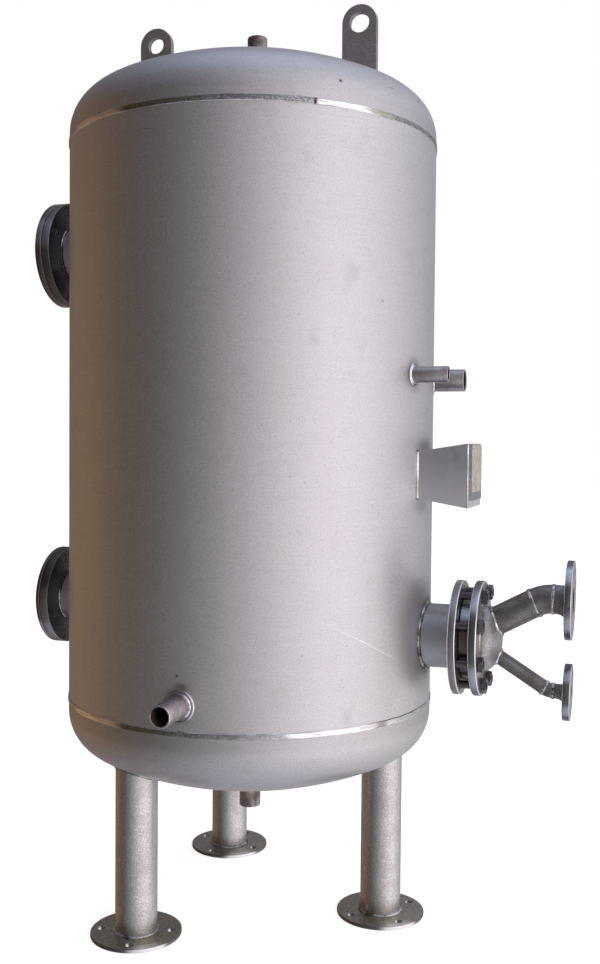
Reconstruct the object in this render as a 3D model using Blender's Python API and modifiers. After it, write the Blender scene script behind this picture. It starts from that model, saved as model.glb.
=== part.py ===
"""Storage water heater: an upright pressure vessel on three legs, with a bolted heater channel.

Metres, +Z up, standing on z = 0. The heater points along +X, the blanked nozzles along -X and the
front socket along -Y. The vessel is a shell with two dished ends, and every pipe is a real tube.
"""
import math

import bmesh
import bpy
from mathutils import Matrix, Vector

# Vessel
VESSEL_RADIUS = 0.500
VESSEL_WALL = 0.006
SHELL_BOTTOM = 0.5788
SHELL_TOP = 2.0689
CROWN_RADIUS = 1.000
KNUCKLE_RADIUS = 0.120
TOP_STRAIGHT_FLANGE = 0.026
BOTTOM_STRAIGHT_FLANGE = 0.032

# Legs and foot plates
LEG_RING_RADIUS = 0.3797
LEG_RADIUS = 0.0543
LEG_WALL = 0.005
LEG_AZIMUTHS = {"heater_side": 0.0, "back": 120.0, "front": 240.0}
FOOT_RADIUS = 0.1175
FOOT_THICKNESS = 0.010
FOOT_BOLT_CIRCLE = 0.183
FOOT_HOLES = 4
FOOT_HOLE_RADIUS = 0.0095

# Blanked nozzles on the -X side; the face is the blanking plate's, from the vessel's axis
NOZZLES = {
    "upper": {
        "height": 1.817,
        "neck_radius": 0.0780,
        "flange_radius": 0.1490,
        "bolt_circle": 0.258,
        "face": 0.6015,
        "plate_thickness": 0.0200,
        "flange_thickness": 0.0240,
    },
    "lower": {
        "height": 0.8215,
        "neck_radius": 0.0703,
        "flange_radius": 0.1395,
        "bolt_circle": 0.236,
        "face": 0.6045,
        "plate_thickness": 0.0120,
        "flange_thickness": 0.0255,
    },
}
NOZZLE_WALL = 0.004
NOZZLE_BOLTS = 8
NOZZLE_HOLE_RADIUS = 0.013
NECK_RECESS = 0.005         # how far a neck stops behind its flange's face, for the inner weld

# Heater on the +X side
HEATER_HEIGHT = 0.7655
HEATER_NECK_RADIUS = 0.084
HEATER_FLANGE_RADIUS = 0.150
HEATER_BOLT_CIRCLE = 0.250
HEATER_BOLTS = 8
HEATER_HOLE_RADIUS = 0.0125
BODY_FLANGE = (0.578, 0.598)
TUBESHEET_RADIUS = 0.105
CHANNEL_FLANGE = (0.630, 0.651)
CHANNEL_BORE_RADIUS = 0.0795
DOME_RADIUS = 0.0855
DOME_APEX = 0.699
DOME_WALL = 0.005

# Heater branches in the XZ plane: where each leaves the dome, its slope, elbow and flange
UPPER_BRANCH = {
    "start": (0.6865, 0.8144),
    "slope": 28.5,
    "run": 0.1071,
    "end_slope": -1.1,
    "elbow_radius": 0.0945,
    "radius": 0.03725,
    "wall": 0.0029,
    "neck_radius": 0.0436,
    "neck_length": 0.0325,
    "flange_radius": 0.1018,
    "flange_thickness": 0.0175,
    "bolt_circle": 0.160,
    "bolts": 8,
    "hole_radius": 0.009,
    "sides": 24,
}
LOWER_BRANCH = {
    "start": (0.6933, 0.7177),
    "slope": -31.8,
    "run": 0.1343,
    "end_slope": -1.4,
    "elbow_radius": 0.0444,
    "radius": 0.0190,
    "wall": 0.0026,
    "neck_radius": 0.0237,
    "neck_length": 0.0272,
    "flange_radius": 0.0723,
    "flange_thickness": 0.0188,
    "bolt_circle": 0.110,
    "bolts": 4,
    "hole_radius": 0.009,
    "sides": 16,
}

# Threaded sockets: (outer radius, bore radius)
TOP_SOCKET = (0.02725, 0.0224)
TOP_SOCKET_OFFSET = 0.0068
TOP_SOCKET_ENDS = (2.285, 2.3874)
DRAIN_SOCKET = (0.02925, 0.0240)
DRAIN_SOCKET_ENDS = (0.254, 0.365)
FRONT_SOCKET = (0.02725, 0.0224)
FRONT_SOCKET_AZIMUTH = 270.4
FRONT_SOCKET_HEIGHT = 0.6458
FRONT_SOCKET_ENDS = (0.480, 0.610)
SENSOR_SMALL = (0.0205, 0.0150)
SENSOR_LARGE = (0.03015, 0.0262)
SENSOR_HEIGHT = 1.4485
SENSOR_OFFSET = 0.127
SENSOR_ENDS = (0.465, 0.572)
SOCKET_CHAMFER = 0.002

# Lifting lugs, in the XZ plane: (place along X, hole radius)
LUGS = {"heater_side": (0.299, 0.0263), "nozzle_side": (-0.296, 0.0226)}
LUG_WIDTH = 0.0955
LUG_THICKNESS = 0.018
LUG_HOLE_HEIGHT = 2.396
LUG_FOOT_HEIGHT = 2.215

# Nameplate bracket: a sheet box that flares away from the shell
BRACKET_WIDTH = 0.210
BRACKET_FRONT = 0.620
BRACKET_BACK_HEIGHTS = (1.131, 1.2556)
BRACKET_FRONT_HEIGHTS = (1.1096, 1.275)
BRACKET_WALL = 0.003
NAMEPLATE_WIDTH = 0.160
NAMEPLATE_HEIGHTS = (1.129, 1.272)
NAMEPLATE_THICKNESS = 0.0066

# Making
GAP = 0.0003
NECK_START = 0.480          # where the necks end inside the shell, from the vessel's axis
CUTTER_REACH = 0.05         # how far a cutter runs past the wall it cuts, each way
VESSEL_SIDES = 48
CROWN_PARTS = 5
KNUCKLE_PARTS = 4
PIPE_SIDES = 24
FLANGE_SIDES = 36
HOLE_SIDES = 8
FOOT_HOLE_SIDES = 12

# Looks: (colour, roughness)
VESSEL_LOOK = ((0.42, 0.42, 0.43), 0.42)
FLANGE_LOOK = ((0.33, 0.33, 0.35), 0.40)
PIPE_LOOK = ((0.24, 0.23, 0.22), 0.50)
PLATE_LOOK = ((0.55, 0.52, 0.44), 0.45)


def clear_scene():
    for obj in list(bpy.data.objects):
        bpy.data.objects.remove(obj)


def new_collection(name):
    collection = bpy.data.collections.new(name)
    bpy.context.scene.collection.children.link(collection)
    return collection


def new_material(name, colour, roughness, metallic=1.0):
    material = bpy.data.materials.new(name)
    material.use_nodes = True
    shader = material.node_tree.nodes["Principled BSDF"]
    shader.inputs["Base Color"].default_value = (*colour, 1.0)
    shader.inputs["Roughness"].default_value = roughness
    shader.inputs["Metallic"].default_value = metallic
    return material


def add_part(name, data, look, place=None):
    """Adds an object to the heater: look is the (colour, roughness) of its own material."""
    obj = bpy.data.objects.new(name, data)
    obj.matrix_world = place or Matrix.Identity(4)
    obj.data.materials.append(new_material(name, *look))
    PARTS.objects.link(obj)
    obj.parent = ORIGIN
    return obj


def add_cutter(name, data, place=None):
    obj = bpy.data.objects.new(name, data)
    obj.matrix_world = place or Matrix.Identity(4)
    obj.hide_render = True
    obj.display_type = "WIRE"
    CUTTERS.objects.link(obj)
    obj.parent = ORIGIN
    return obj


def cut(obj, cutter):
    boolean = obj.modifiers.new("cut_" + cutter.name, "BOOLEAN")
    boolean.operation = "DIFFERENCE"
    boolean.solver = "EXACT"
    boolean.object = cutter


def aim(x, y, z, azimuth, slope=0.0):
    """A place whose +Z points along an azimuth in degrees, raised by a slope in degrees."""
    turn = Matrix.Rotation(math.radians(azimuth), 4, "Z")
    lean = Matrix.Rotation(math.radians(90 - slope), 4, "Y")
    return Matrix.Translation((x, y, z)) @ turn @ lean


def outline_mesh(name, points, closed=True):
    """The bare outline of a turned shape, from (radius, height) points."""
    mesh = bpy.data.meshes.new(name)
    shape = bmesh.new()
    corners = [shape.verts.new((radius, 0.0, height)) for radius, height in points]
    for start, end in zip(corners, corners[1:]):
        shape.edges.new((start, end))
    if closed:
        shape.edges.new((corners[-1], corners[0]))
    shape.to_mesh(mesh)
    shape.free()
    return mesh


def turn(obj, sides):
    screw = obj.modifiers.new("turn", "SCREW")
    screw.steps = sides
    screw.render_steps = sides
    screw.use_merge_vertices = True
    screw.merge_threshold = 0.0001
    screw.use_smooth_shade = True


def turned(name, points, sides, look, place=None, closed=True):
    obj = add_part(name, outline_mesh(name, points, closed), look, place)
    turn(obj, sides)
    return obj


def turned_cutter(name, points, sides, place=None, closed=False):
    obj = add_cutter(name, outline_mesh(name, points, closed), place)
    turn(obj, sides)
    return obj


def pipe_outline(outer, inner, start, end, chamfer=0.0):
    """A pipe's outline, its end at the top, with an optional chamfer outside that end."""
    rim = [(outer - chamfer, end), (outer, end - chamfer)] if chamfer else [(outer, end)]
    return rim + [(outer, start), (inner, start), (inner, end)]


def rod_cutter(name, radius, start, end, sides, place=None):
    """A plain round cutter from start to end along its own +Z."""
    mesh = bpy.data.meshes.new(name)
    shape = bmesh.new()
    middle = Matrix.Translation((0, 0, (start + end) / 2))
    bmesh.ops.create_cone(shape, cap_ends=True, segments=sides, radius1=radius,
                          radius2=radius, depth=end - start, matrix=middle)
    shape.to_mesh(mesh)
    shape.free()
    return add_cutter(name, mesh, place)


def drill_circle(obj, circle, count, radius, sides):
    """Drills a circle of like holes along the object's own +Z, straddling its +X."""
    step = math.tau / count
    mesh = bpy.data.meshes.new(obj.name + "_drill")
    shape = bmesh.new()
    for i in range(count):
        angle = (i + 0.5) * step
        spot = Matrix.Translation((circle / 2 * math.cos(angle), circle / 2 * math.sin(angle), 0))
        bmesh.ops.create_cone(shape, cap_ends=True, segments=sides, radius1=radius,
                              radius2=radius, depth=2 * CUTTER_REACH, matrix=spot)
    shape.to_mesh(mesh)
    shape.free()
    cut(obj, add_cutter(obj.name + "_drill", mesh, obj.matrix_world))


def evaluated_mesh(obj):
    """The object's mesh with its modifiers applied, caps welded."""
    graph = bpy.context.evaluated_depsgraph_get()
    mesh = bpy.data.meshes.new_from_object(obj.evaluated_get(graph))
    shape = bmesh.new()
    shape.from_mesh(mesh)
    bmesh.ops.remove_doubles(shape, verts=shape.verts, dist=0.00001)
    shape.to_mesh(mesh)
    shape.free()
    return mesh


def head_outline(offset, straight, parts=(CROWN_PARTS, KNUCKLE_PARTS)):
    """(radius, height above the weld) down a dished end, its surface pushed out by an offset."""
    crown = CROWN_RADIUS + offset
    knuckle = KNUCKLE_RADIUS + offset
    knuckle_at = VESSEL_RADIUS - KNUCKLE_RADIUS
    drop = math.sqrt((CROWN_RADIUS - KNUCKLE_RADIUS) ** 2 - knuckle_at**2)
    meet = math.asin(knuckle_at / (CROWN_RADIUS - KNUCKLE_RADIUS))
    points = []
    for i in range(parts[0] + 1):
        angle = meet * i / parts[0]
        points.append((crown * math.sin(angle), straight - drop + crown * math.cos(angle)))
    for i in range(1, parts[1] + 1):
        angle = meet + (math.pi / 2 - meet) * i / parts[1]
        points.append((knuckle_at + knuckle * math.sin(angle),
                       straight + knuckle * math.cos(angle)))
    return points


def head_place(top):
    """The weld plane of the top end, or that of the bottom end turned upside down."""
    if top:
        return Matrix.Translation((0, 0, SHELL_TOP))
    return Matrix.Translation((0, 0, SHELL_BOTTOM)) @ Matrix.Rotation(math.pi, 4, "X")


def straight_flange(top):
    return TOP_STRAIGHT_FLANGE if top else BOTTOM_STRAIGHT_FLANGE


def dished_end(name, top, socket_radius, socket_x=0.0):
    """A dished end with a hole for its socket, which may stand off the axis along +X."""
    straight = straight_flange(top)
    outside = head_outline(0.0, straight)
    inside = head_outline(-VESSEL_WALL, straight, (CROWN_PARTS - 1, KNUCKLE_PARTS - 1))
    rim = [(VESSEL_RADIUS, GAP / 2), (VESSEL_RADIUS - VESSEL_WALL, GAP / 2)]
    head = turned(name, outside + rim + inside[::-1], VESSEL_SIDES, VESSEL_LOOK,
                  head_place(top), closed=False)
    crown = outside[0][1]
    cut(head, rod_cutter(name + "_way", socket_radius + GAP, crown - CUTTER_REACH,
                         crown + CUTTER_REACH, PIPE_SIDES,
                         head_place(top) @ Matrix.Translation((socket_x, 0, 0))))


def head_cutter(name, top):
    """Everything under a dished end's outer skin, for what is cut to sit on it."""
    skin = head_outline(GAP, straight_flange(top))
    below = -CUTTER_REACH
    outline = skin + [(VESSEL_RADIUS + GAP, below), (0.0, below)]
    return turned_cutter(name, outline, VESSEL_SIDES, head_place(top))


def vessel():
    shell = turned("shell", pipe_outline(VESSEL_RADIUS, VESSEL_RADIUS - VESSEL_WALL,
                                         SHELL_BOTTOM + GAP / 2, SHELL_TOP - GAP / 2),
                   VESSEL_SIDES, VESSEL_LOOK)
    dished_end("top_head", True, TOP_SOCKET[0], TOP_SOCKET_OFFSET)
    dished_end("bottom_head", False, DRAIN_SOCKET[0])
    return shell


def pierce(shell, name, radius, place, sides):
    """Cuts a pipe's way through the shell wall."""
    cut(shell, rod_cutter("way_" + name, radius + GAP, VESSEL_RADIUS - CUTTER_REACH,
                          VESSEL_RADIUS + CUTTER_REACH, sides, place))


def sockets(shell):
    turned("top_socket", pipe_outline(*TOP_SOCKET, *TOP_SOCKET_ENDS, SOCKET_CHAMFER),
           PIPE_SIDES, FLANGE_LOOK, Matrix.Translation((TOP_SOCKET_OFFSET, 0, 0)))
    bottom, top = DRAIN_SOCKET_ENDS
    turned("drain_socket", pipe_outline(*DRAIN_SOCKET, -top, -bottom, SOCKET_CHAMFER),
           PIPE_SIDES, FLANGE_LOOK, Matrix.Rotation(math.pi, 4, "X"))
    small = aim(0, -SENSOR_OFFSET, SENSOR_HEIGHT, 0)
    large = aim(0, SENSOR_OFFSET, SENSOR_HEIGHT, 0)
    front = aim(0, 0, FRONT_SOCKET_HEIGHT, FRONT_SOCKET_AZIMUTH)
    for name, radii, ends, place in (
        ("sensor_socket_small", SENSOR_SMALL, SENSOR_ENDS, small),
        ("sensor_socket_large", SENSOR_LARGE, SENSOR_ENDS, large),
        ("front_socket", FRONT_SOCKET, FRONT_SOCKET_ENDS, front),
    ):
        turned(name, pipe_outline(*radii, *ends, SOCKET_CHAMFER), PIPE_SIDES, FLANGE_LOOK,
               place)
        pierce(shell, name, radii[0], place, PIPE_SIDES)


def lifting_lug(side, seat):
    """A plate with a round top about its hole, standing on the top end in the XZ plane."""
    name = "lifting_lug_" + side
    distance, hole_radius = LUGS[side]
    curve = bpy.data.curves.new(name, "CURVE")
    curve.dimensions = "2D"
    curve.fill_mode = "BOTH"
    curve.extrude = LUG_THICKNESS / 2
    half = LUG_WIDTH / 2
    foot = LUG_FOOT_HEIGHT - LUG_HOLE_HEIGHT
    top = [(half * math.cos(a), half * math.sin(a)) for a in arc_angles(math.pi, 16)]
    hole = [(hole_radius * math.cos(a), hole_radius * math.sin(a))
            for a in arc_angles(math.tau, 20)[:-1]]
    for points in (top + [(-half, foot), (half, foot)], hole):
        spline = curve.splines.new("POLY")
        spline.points.add(len(points) - 1)
        for point, (x, y) in zip(spline.points, points):
            point.co = (x, y, 0, 1)
        spline.use_cyclic_u = True
    upright = Matrix.Rotation(math.pi / 2, 4, "X")
    place = Matrix.Translation((distance, 0, LUG_HOLE_HEIGHT)) @ upright
    flat = bpy.data.objects.new(name + "_flat", curve)
    PARTS.objects.link(flat)
    bpy.context.view_layer.update()
    lug = add_part(name, evaluated_mesh(flat), PIPE_LOOK, place)
    bpy.data.objects.remove(flat)
    cut(lug, seat)


def arc_angles(sweep, parts):
    return [sweep * i / parts for i in range(parts + 1)]


def flange(name, outer, bore, start, end, bolts, look, place):
    """A drilled flange between two distances along its place's +Z: bolts is (circle, count, radius)."""
    middle = place @ Matrix.Translation((0, 0, (start + end) / 2))
    half = (end - start) / 2
    obj = turned(name, pipe_outline(outer, bore, -half, half), FLANGE_SIDES, look, middle)
    drill_circle(obj, *bolts, HOLE_SIDES)
    return obj


def blanking_plate(name, outer, start, end, bolts, look, place):
    middle = place @ Matrix.Translation((0, 0, (start + end) / 2))
    half = (end - start) / 2
    obj = turned(name, [(0, half), (outer, half), (outer, -half), (0, -half)], FLANGE_SIDES,
                 look, middle, closed=False)
    drill_circle(obj, *bolts, HOLE_SIDES)


def blanked_nozzle(side, nozzle, shell):
    neck, outer = nozzle["neck_radius"], nozzle["flange_radius"]
    place = aim(0, 0, nozzle["height"], 180)
    plate_back = nozzle["face"] - nozzle["plate_thickness"]
    flange_face = plate_back - GAP
    flange_back = flange_face - nozzle["flange_thickness"]
    bolts = (nozzle["bolt_circle"], NOZZLE_BOLTS, NOZZLE_HOLE_RADIUS)
    neck_end = flange_face - NECK_RECESS
    turned(side + "_nozzle_neck", pipe_outline(neck, neck - NOZZLE_WALL, NECK_START, neck_end),
           FLANGE_SIDES, VESSEL_LOOK, place)
    flange(side + "_nozzle_flange", outer, neck + GAP, flange_back, flange_face, bolts,
           FLANGE_LOOK, place)
    blanking_plate(side + "_blanking_plate", outer, plate_back, nozzle["face"], bolts,
                   FLANGE_LOOK, place)
    pierce(shell, side + "_nozzle", neck, place, FLANGE_SIDES)


def dome_outline(offset, base):
    """(radius, distance) down the channel dome, pushed out by an offset, from its apex to its base."""
    radius = DOME_RADIUS + offset
    height = DOME_APEX - CHANNEL_FLANGE[1] + offset
    points = [(radius * math.sin(a), CHANNEL_FLANGE[1] + height * math.cos(a))
              for a in arc_angles(math.pi / 2, 7)]
    return points[:-1] + [(radius, base)]


def heater_channel(shell):
    place = aim(0, 0, HEATER_HEIGHT, 0)
    bolts = (HEATER_BOLT_CIRCLE, HEATER_BOLTS, HEATER_HOLE_RADIUS)
    look = FLANGE_LOOK
    turned("heater_neck", pipe_outline(HEATER_NECK_RADIUS, HEATER_NECK_RADIUS - NOZZLE_WALL,
                                       NECK_START, BODY_FLANGE[1] - NECK_RECESS),
           FLANGE_SIDES, VESSEL_LOOK, place)
    pierce(shell, "heater", HEATER_NECK_RADIUS, place, FLANGE_SIDES)
    flange("heater_body_flange", HEATER_FLANGE_RADIUS, HEATER_NECK_RADIUS + GAP, *BODY_FLANGE,
           bolts, look, place)
    sheet = (BODY_FLANGE[1] + GAP, CHANNEL_FLANGE[0] - GAP)
    turned("heater_tubesheet", [(0, sheet[1]), (TUBESHEET_RADIUS, sheet[1]),
                                (TUBESHEET_RADIUS, sheet[0]), (0, sheet[0])],
           FLANGE_SIDES, PIPE_LOOK, place, closed=False)
    flange("channel_flange", HEATER_FLANGE_RADIUS, CHANNEL_BORE_RADIUS, *CHANNEL_FLANGE, bolts,
           look, place)
    base = CHANNEL_FLANGE[1] + GAP
    outside = dome_outline(0.0, base)
    inside = dome_outline(-DOME_WALL, base)
    return turned("channel_dome", outside + inside[::-1], PIPE_SIDES, PIPE_LOOK, place,
                  closed=False)


def channel_cutter():
    """The channel's outer skin and its flange face, for the pipes that are cut to sit on them."""
    face = CHANNEL_FLANGE[1] + GAP
    back = face - CUTTER_REACH
    wide = HEATER_FLANGE_RADIUS + CUTTER_REACH
    outline = dome_outline(GAP, face) + [(wide, face), (wide, back), (0, back)]
    return turned_cutter("channel_skin", outline, PIPE_SIDES, aim(0, 0, HEATER_HEIGHT, 0))


def step_along(point, slope, length):
    angle = math.radians(slope)
    return (point[0] + length * math.cos(angle), point[1] + length * math.sin(angle))


def elbow_end(point, slope, end_slope, radius):
    """Where an elbow that starts at a point in the XZ plane ends."""
    start, end = math.radians(slope), math.radians(end_slope)
    turn_way = 1 if end > start else -1
    x = point[0] + turn_way * radius * (math.sin(end) - math.sin(start))
    z = point[1] + turn_way * radius * (math.cos(start) - math.cos(end))
    return (x, z)


def elbow(name, branch, start, end):
    """An open tube along one Bezier arc, given its wall by Solidify."""
    curve = bpy.data.curves.new(name, "CURVE")
    curve.dimensions = "3D"
    curve.bevel_depth = branch["radius"]
    curve.bevel_resolution = branch["sides"] // 2 - 2
    curve.use_fill_caps = False
    curve.resolution_u = 6
    bend = math.radians(abs(branch["end_slope"] - branch["slope"]))
    reach = 4 / 3 * math.tan(bend / 4) * branch["elbow_radius"]
    spline = curve.splines.new("BEZIER")
    spline.bezier_points.add(1)
    for point, place, slope in zip(spline.bezier_points, (start, end),
                                   (branch["slope"], branch["end_slope"])):
        behind = step_along(place, slope, -reach)
        ahead = step_along(place, slope, reach)
        point.co = (place[0], 0, place[1])
        point.handle_left_type = point.handle_right_type = "FREE"
        point.handle_left = (behind[0], 0, behind[1])
        point.handle_right = (ahead[0], 0, ahead[1])
    guide = bpy.data.objects.new(name + "_guide", curve)
    PARTS.objects.link(guide)
    bpy.context.view_layer.update()
    obj = add_part(name, evaluated_mesh(guide), PIPE_LOOK)
    bpy.data.objects.remove(guide)
    obj.data.shade_smooth()
    wall = obj.modifiers.new("wall", "SOLIDIFY")
    wall.thickness = branch["wall"]
    wall.offset = -1


def eccentric_neck(name, branch, place):
    """A short tube with a level top and an even bore, whose outside widens below to the flange."""
    small, large = branch["radius"], branch["neck_radius"]
    length = branch["neck_length"] - GAP
    bore = small - branch["wall"]
    outline = [(large, length), (small, GAP), (bore, GAP), (bore, length)]
    straight = turned(name + "_straight", outline, branch["sides"], PIPE_LOOK)
    bpy.context.view_layer.update()
    mesh = evaluated_mesh(straight)
    bpy.data.objects.remove(straight)
    for corner in mesh.vertices:
        if math.hypot(corner.co.x, corner.co.y) > (small + bore) / 2:
            corner.co.x += (large - small) * (corner.co.z - GAP) / (length - GAP)
    obj = add_part(name, mesh, PIPE_LOOK, place)
    obj.data.shade_smooth()


def heater_branch(side, branch, dome, skin):
    start, slope = branch["start"], branch["slope"]
    base = aim(start[0], 0, start[1], 0, slope)
    sides, radius = branch["sides"], branch["radius"]
    bore = radius - branch["wall"]
    root = -1.2 * CUTTER_REACH
    pipe = turned(side + "_branch_pipe", pipe_outline(radius, bore, root, branch["run"] - GAP),
                  sides, PIPE_LOOK, base)
    cut(pipe, skin)
    way = 0.6 * CUTTER_REACH
    cut(dome, rod_cutter("way_" + side + "_branch", bore, -way, way, sides, base))
    bend_start = step_along(start, slope, branch["run"])
    bend_end = elbow_end(bend_start, slope, branch["end_slope"], branch["elbow_radius"])
    elbow(side + "_branch_elbow", branch, bend_start, bend_end)
    neck = aim(bend_end[0], 0, bend_end[1], 0, branch["end_slope"])
    eccentric_neck(side + "_branch_neck", branch, neck)
    back = branch["neck_length"]
    bolts = (branch["bolt_circle"], branch["bolts"], branch["hole_radius"])
    flange(side + "_branch_flange", branch["flange_radius"], bore, back,
           back + branch["flange_thickness"], bolts, FLANGE_LOOK, neck)


def nameplate_bracket():
    """A box without a back, lofted from its back edge to its front, walled and cut to the shell."""
    mesh = bpy.data.meshes.new("nameplate_bracket")
    shape = bmesh.new()
    bmesh.ops.create_cube(shape, size=1.0)
    back_x = VESSEL_RADIUS - CUTTER_REACH
    slopes = [(front - back) / (BRACKET_FRONT - VESSEL_RADIUS) for front, back in
              zip(BRACKET_FRONT_HEIGHTS, BRACKET_BACK_HEIGHTS)]
    for corner in shape.verts:
        x = BRACKET_FRONT if corner.co.x > 0 else back_x
        level = 1 if corner.co.z > 0 else 0
        z = BRACKET_FRONT_HEIGHTS[level] - slopes[level] * (BRACKET_FRONT - x)
        corner.co = Vector((x, corner.co.y * BRACKET_WIDTH, z))
    open_back = [face for face in shape.faces if face.normal.x < -0.9]
    bmesh.ops.delete(shape, geom=open_back, context="FACES_ONLY")
    shape.to_mesh(mesh)
    shape.free()
    bracket = add_part("nameplate_bracket", mesh, VESSEL_LOOK)
    wall = bracket.modifiers.new("wall", "SOLIDIFY")
    wall.thickness = BRACKET_WALL
    wall.offset = -1
    wall.use_even_offset = True
    skin = rod_cutter("shell_skin", VESSEL_RADIUS + 2 * GAP,
                      BRACKET_BACK_HEIGHTS[0] - CUTTER_REACH,
                      BRACKET_BACK_HEIGHTS[1] + CUTTER_REACH, VESSEL_SIDES)
    cut(bracket, skin)


def nameplate():
    mesh = bpy.data.meshes.new("nameplate")
    shape = bmesh.new()
    bmesh.ops.create_cube(shape, size=1.0)
    size = (NAMEPLATE_THICKNESS, NAMEPLATE_WIDTH, NAMEPLATE_HEIGHTS[1] - NAMEPLATE_HEIGHTS[0])
    bmesh.ops.scale(shape, vec=size, verts=shape.verts)
    shape.to_mesh(mesh)
    shape.free()
    middle = BRACKET_FRONT + GAP + NAMEPLATE_THICKNESS / 2
    place = Matrix.Translation((middle, 0, sum(NAMEPLATE_HEIGHTS) / 2))
    plate = add_part("nameplate", mesh, PLATE_LOOK, place)
    bevel = plate.modifiers.new("edge", "BEVEL")
    bevel.width = 0.001
    bevel.segments = 1


def leg(side, azimuth, seat):
    """A pipe leg cut to the bottom end, on a round foot plate with four anchor holes."""
    angle = math.radians(azimuth)
    spot = (LEG_RING_RADIUS * math.cos(angle), LEG_RING_RADIUS * math.sin(angle), 0)
    place = Matrix.Translation(spot) @ Matrix.Rotation(angle, 4, "Z")
    pipe = turned("leg_" + side, pipe_outline(LEG_RADIUS, LEG_RADIUS - LEG_WALL,
                                              FOOT_THICKNESS + GAP, SHELL_BOTTOM - CUTTER_REACH),
                  PIPE_SIDES, PIPE_LOOK, place)
    cut(pipe, seat)
    lift = Matrix.Translation((0, 0, FOOT_THICKNESS / 2))
    half = FOOT_THICKNESS / 2
    plate = turned("foot_plate_" + side, [(0, half), (FOOT_RADIUS, half), (FOOT_RADIUS, -half),
                                          (0, -half)],
                   FLANGE_SIDES, PIPE_LOOK, place @ lift, closed=False)
    drill_circle(plate, FOOT_BOLT_CIRCLE, FOOT_HOLES, FOOT_HOLE_RADIUS, FOOT_HOLE_SIDES)


def centre_over_origin():
    """Moves the whole heater so that the middle of its box stands over the origin."""
    bpy.context.view_layer.update()
    graph = bpy.context.evaluated_depsgraph_get()
    points = []
    for obj in PARTS.objects:
        final = obj.evaluated_get(graph)
        points += [final.matrix_world @ vertex.co for vertex in final.data.vertices]
    for axis in (0, 1):
        values = [point[axis] for point in points]
        ORIGIN.location[axis] = -(min(values) + max(values)) / 2


def main():
    shell = vessel()
    top_seat = head_cutter("top_seat", True)
    bottom_seat = head_cutter("bottom_seat", False)
    sockets(shell)
    for side in LUGS:
        lifting_lug(side, top_seat)
    for side, nozzle in NOZZLES.items():
        blanked_nozzle(side, nozzle, shell)
    dome = heater_channel(shell)
    skin = channel_cutter()
    heater_branch("upper", UPPER_BRANCH, dome, skin)
    heater_branch("lower", LOWER_BRANCH, dome, skin)
    nameplate_bracket()
    nameplate()
    for side, azimuth in LEG_AZIMUTHS.items():
        leg(side, azimuth, bottom_seat)
    centre_over_origin()


clear_scene()
PARTS = new_collection("storage_water_heater")
CUTTERS = new_collection("cutters")
CUTTERS.hide_render = True
ORIGIN = bpy.data.objects.new("vessel_axis", None)
bpy.context.scene.collection.objects.link(ORIGIN)
main()
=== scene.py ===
"""Dresses the storage water heater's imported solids: fine steelwork, welds, bolting and finishes.

Laid out as a Blender add-on with one operator for each group of pieces. Everything is in metres, in
the frame of the solids: the vessel's axis is upright, the heater points along +X, the blanked
nozzles along -X and the front socket along -Y.
"""
import math

import bmesh
import bpy
import numpy as np
from bpy.props import FloatProperty, FloatVectorProperty, PointerProperty
from mathutils import Matrix, Vector


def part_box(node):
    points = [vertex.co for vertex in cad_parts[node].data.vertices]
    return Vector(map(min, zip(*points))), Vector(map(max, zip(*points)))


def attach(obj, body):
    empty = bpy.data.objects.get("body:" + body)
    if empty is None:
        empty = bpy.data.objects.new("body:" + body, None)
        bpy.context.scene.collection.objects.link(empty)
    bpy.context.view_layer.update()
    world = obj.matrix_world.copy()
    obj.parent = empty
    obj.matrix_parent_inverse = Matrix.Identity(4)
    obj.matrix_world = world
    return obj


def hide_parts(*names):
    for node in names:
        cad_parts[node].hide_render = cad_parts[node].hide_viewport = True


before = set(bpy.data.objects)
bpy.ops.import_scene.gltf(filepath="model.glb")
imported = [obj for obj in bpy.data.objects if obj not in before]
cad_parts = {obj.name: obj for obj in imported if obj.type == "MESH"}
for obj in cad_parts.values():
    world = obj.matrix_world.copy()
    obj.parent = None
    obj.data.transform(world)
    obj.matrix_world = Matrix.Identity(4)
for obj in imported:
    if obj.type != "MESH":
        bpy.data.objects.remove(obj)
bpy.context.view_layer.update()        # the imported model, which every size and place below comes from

bl_info = {
    "name": "Storage water heater",
    "version": (1, 0, 0),
    "blender": (4, 5, 0),
    "location": "View3D > Sidebar > Water heater",
    "description": "Builds the visible steelwork of an upright storage water heater",
    "category": "Object",
}

HERE = Matrix.Identity(4)
OVER = Matrix.Rotation(math.pi, 4, "X")

# The vessel's axis on the floor, and each node's extent about it
AXIS = sum(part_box("shell"), Vector()) / 2
AXIS.z = 0.0


def span(node):
    """A node's lowest and highest corners about the vessel's axis."""
    low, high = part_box(node)
    return low - AXIS, high - AXIS


def middle(node):
    return sum(span(node), Vector()) / 2


def half_size(node):
    """Half a node's length along each axis."""
    low, high = span(node)
    return (high - low) / 2


# Vessel
RADIUS = span("shell")[1].x
WALL = 0.006
SHELL_BOTTOM, SHELL_TOP = (corner.z for corner in span("shell"))
CROWN_RADIUS = 1.000
KNUCKLE_RADIUS = 0.120
TOP_STRAIGHT = 0.026
BOTTOM_STRAIGHT = 0.032
HOLE_SHIFT_REACH = 0.1      # over how far the top end's rings move from its hole to the axis

# Sockets: outer and bore radius
TOP_SOCKET = (0.02725, 0.0224)
DRAIN_SOCKET = (0.02925, 0.0240)
FRONT_SOCKET = (0.02725, 0.0224)
FRONT_AZIMUTH = 270.4
SENSOR_SMALL = (0.0205, 0.0150)
SENSOR_LARGE = (0.03015, 0.0262)

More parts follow.
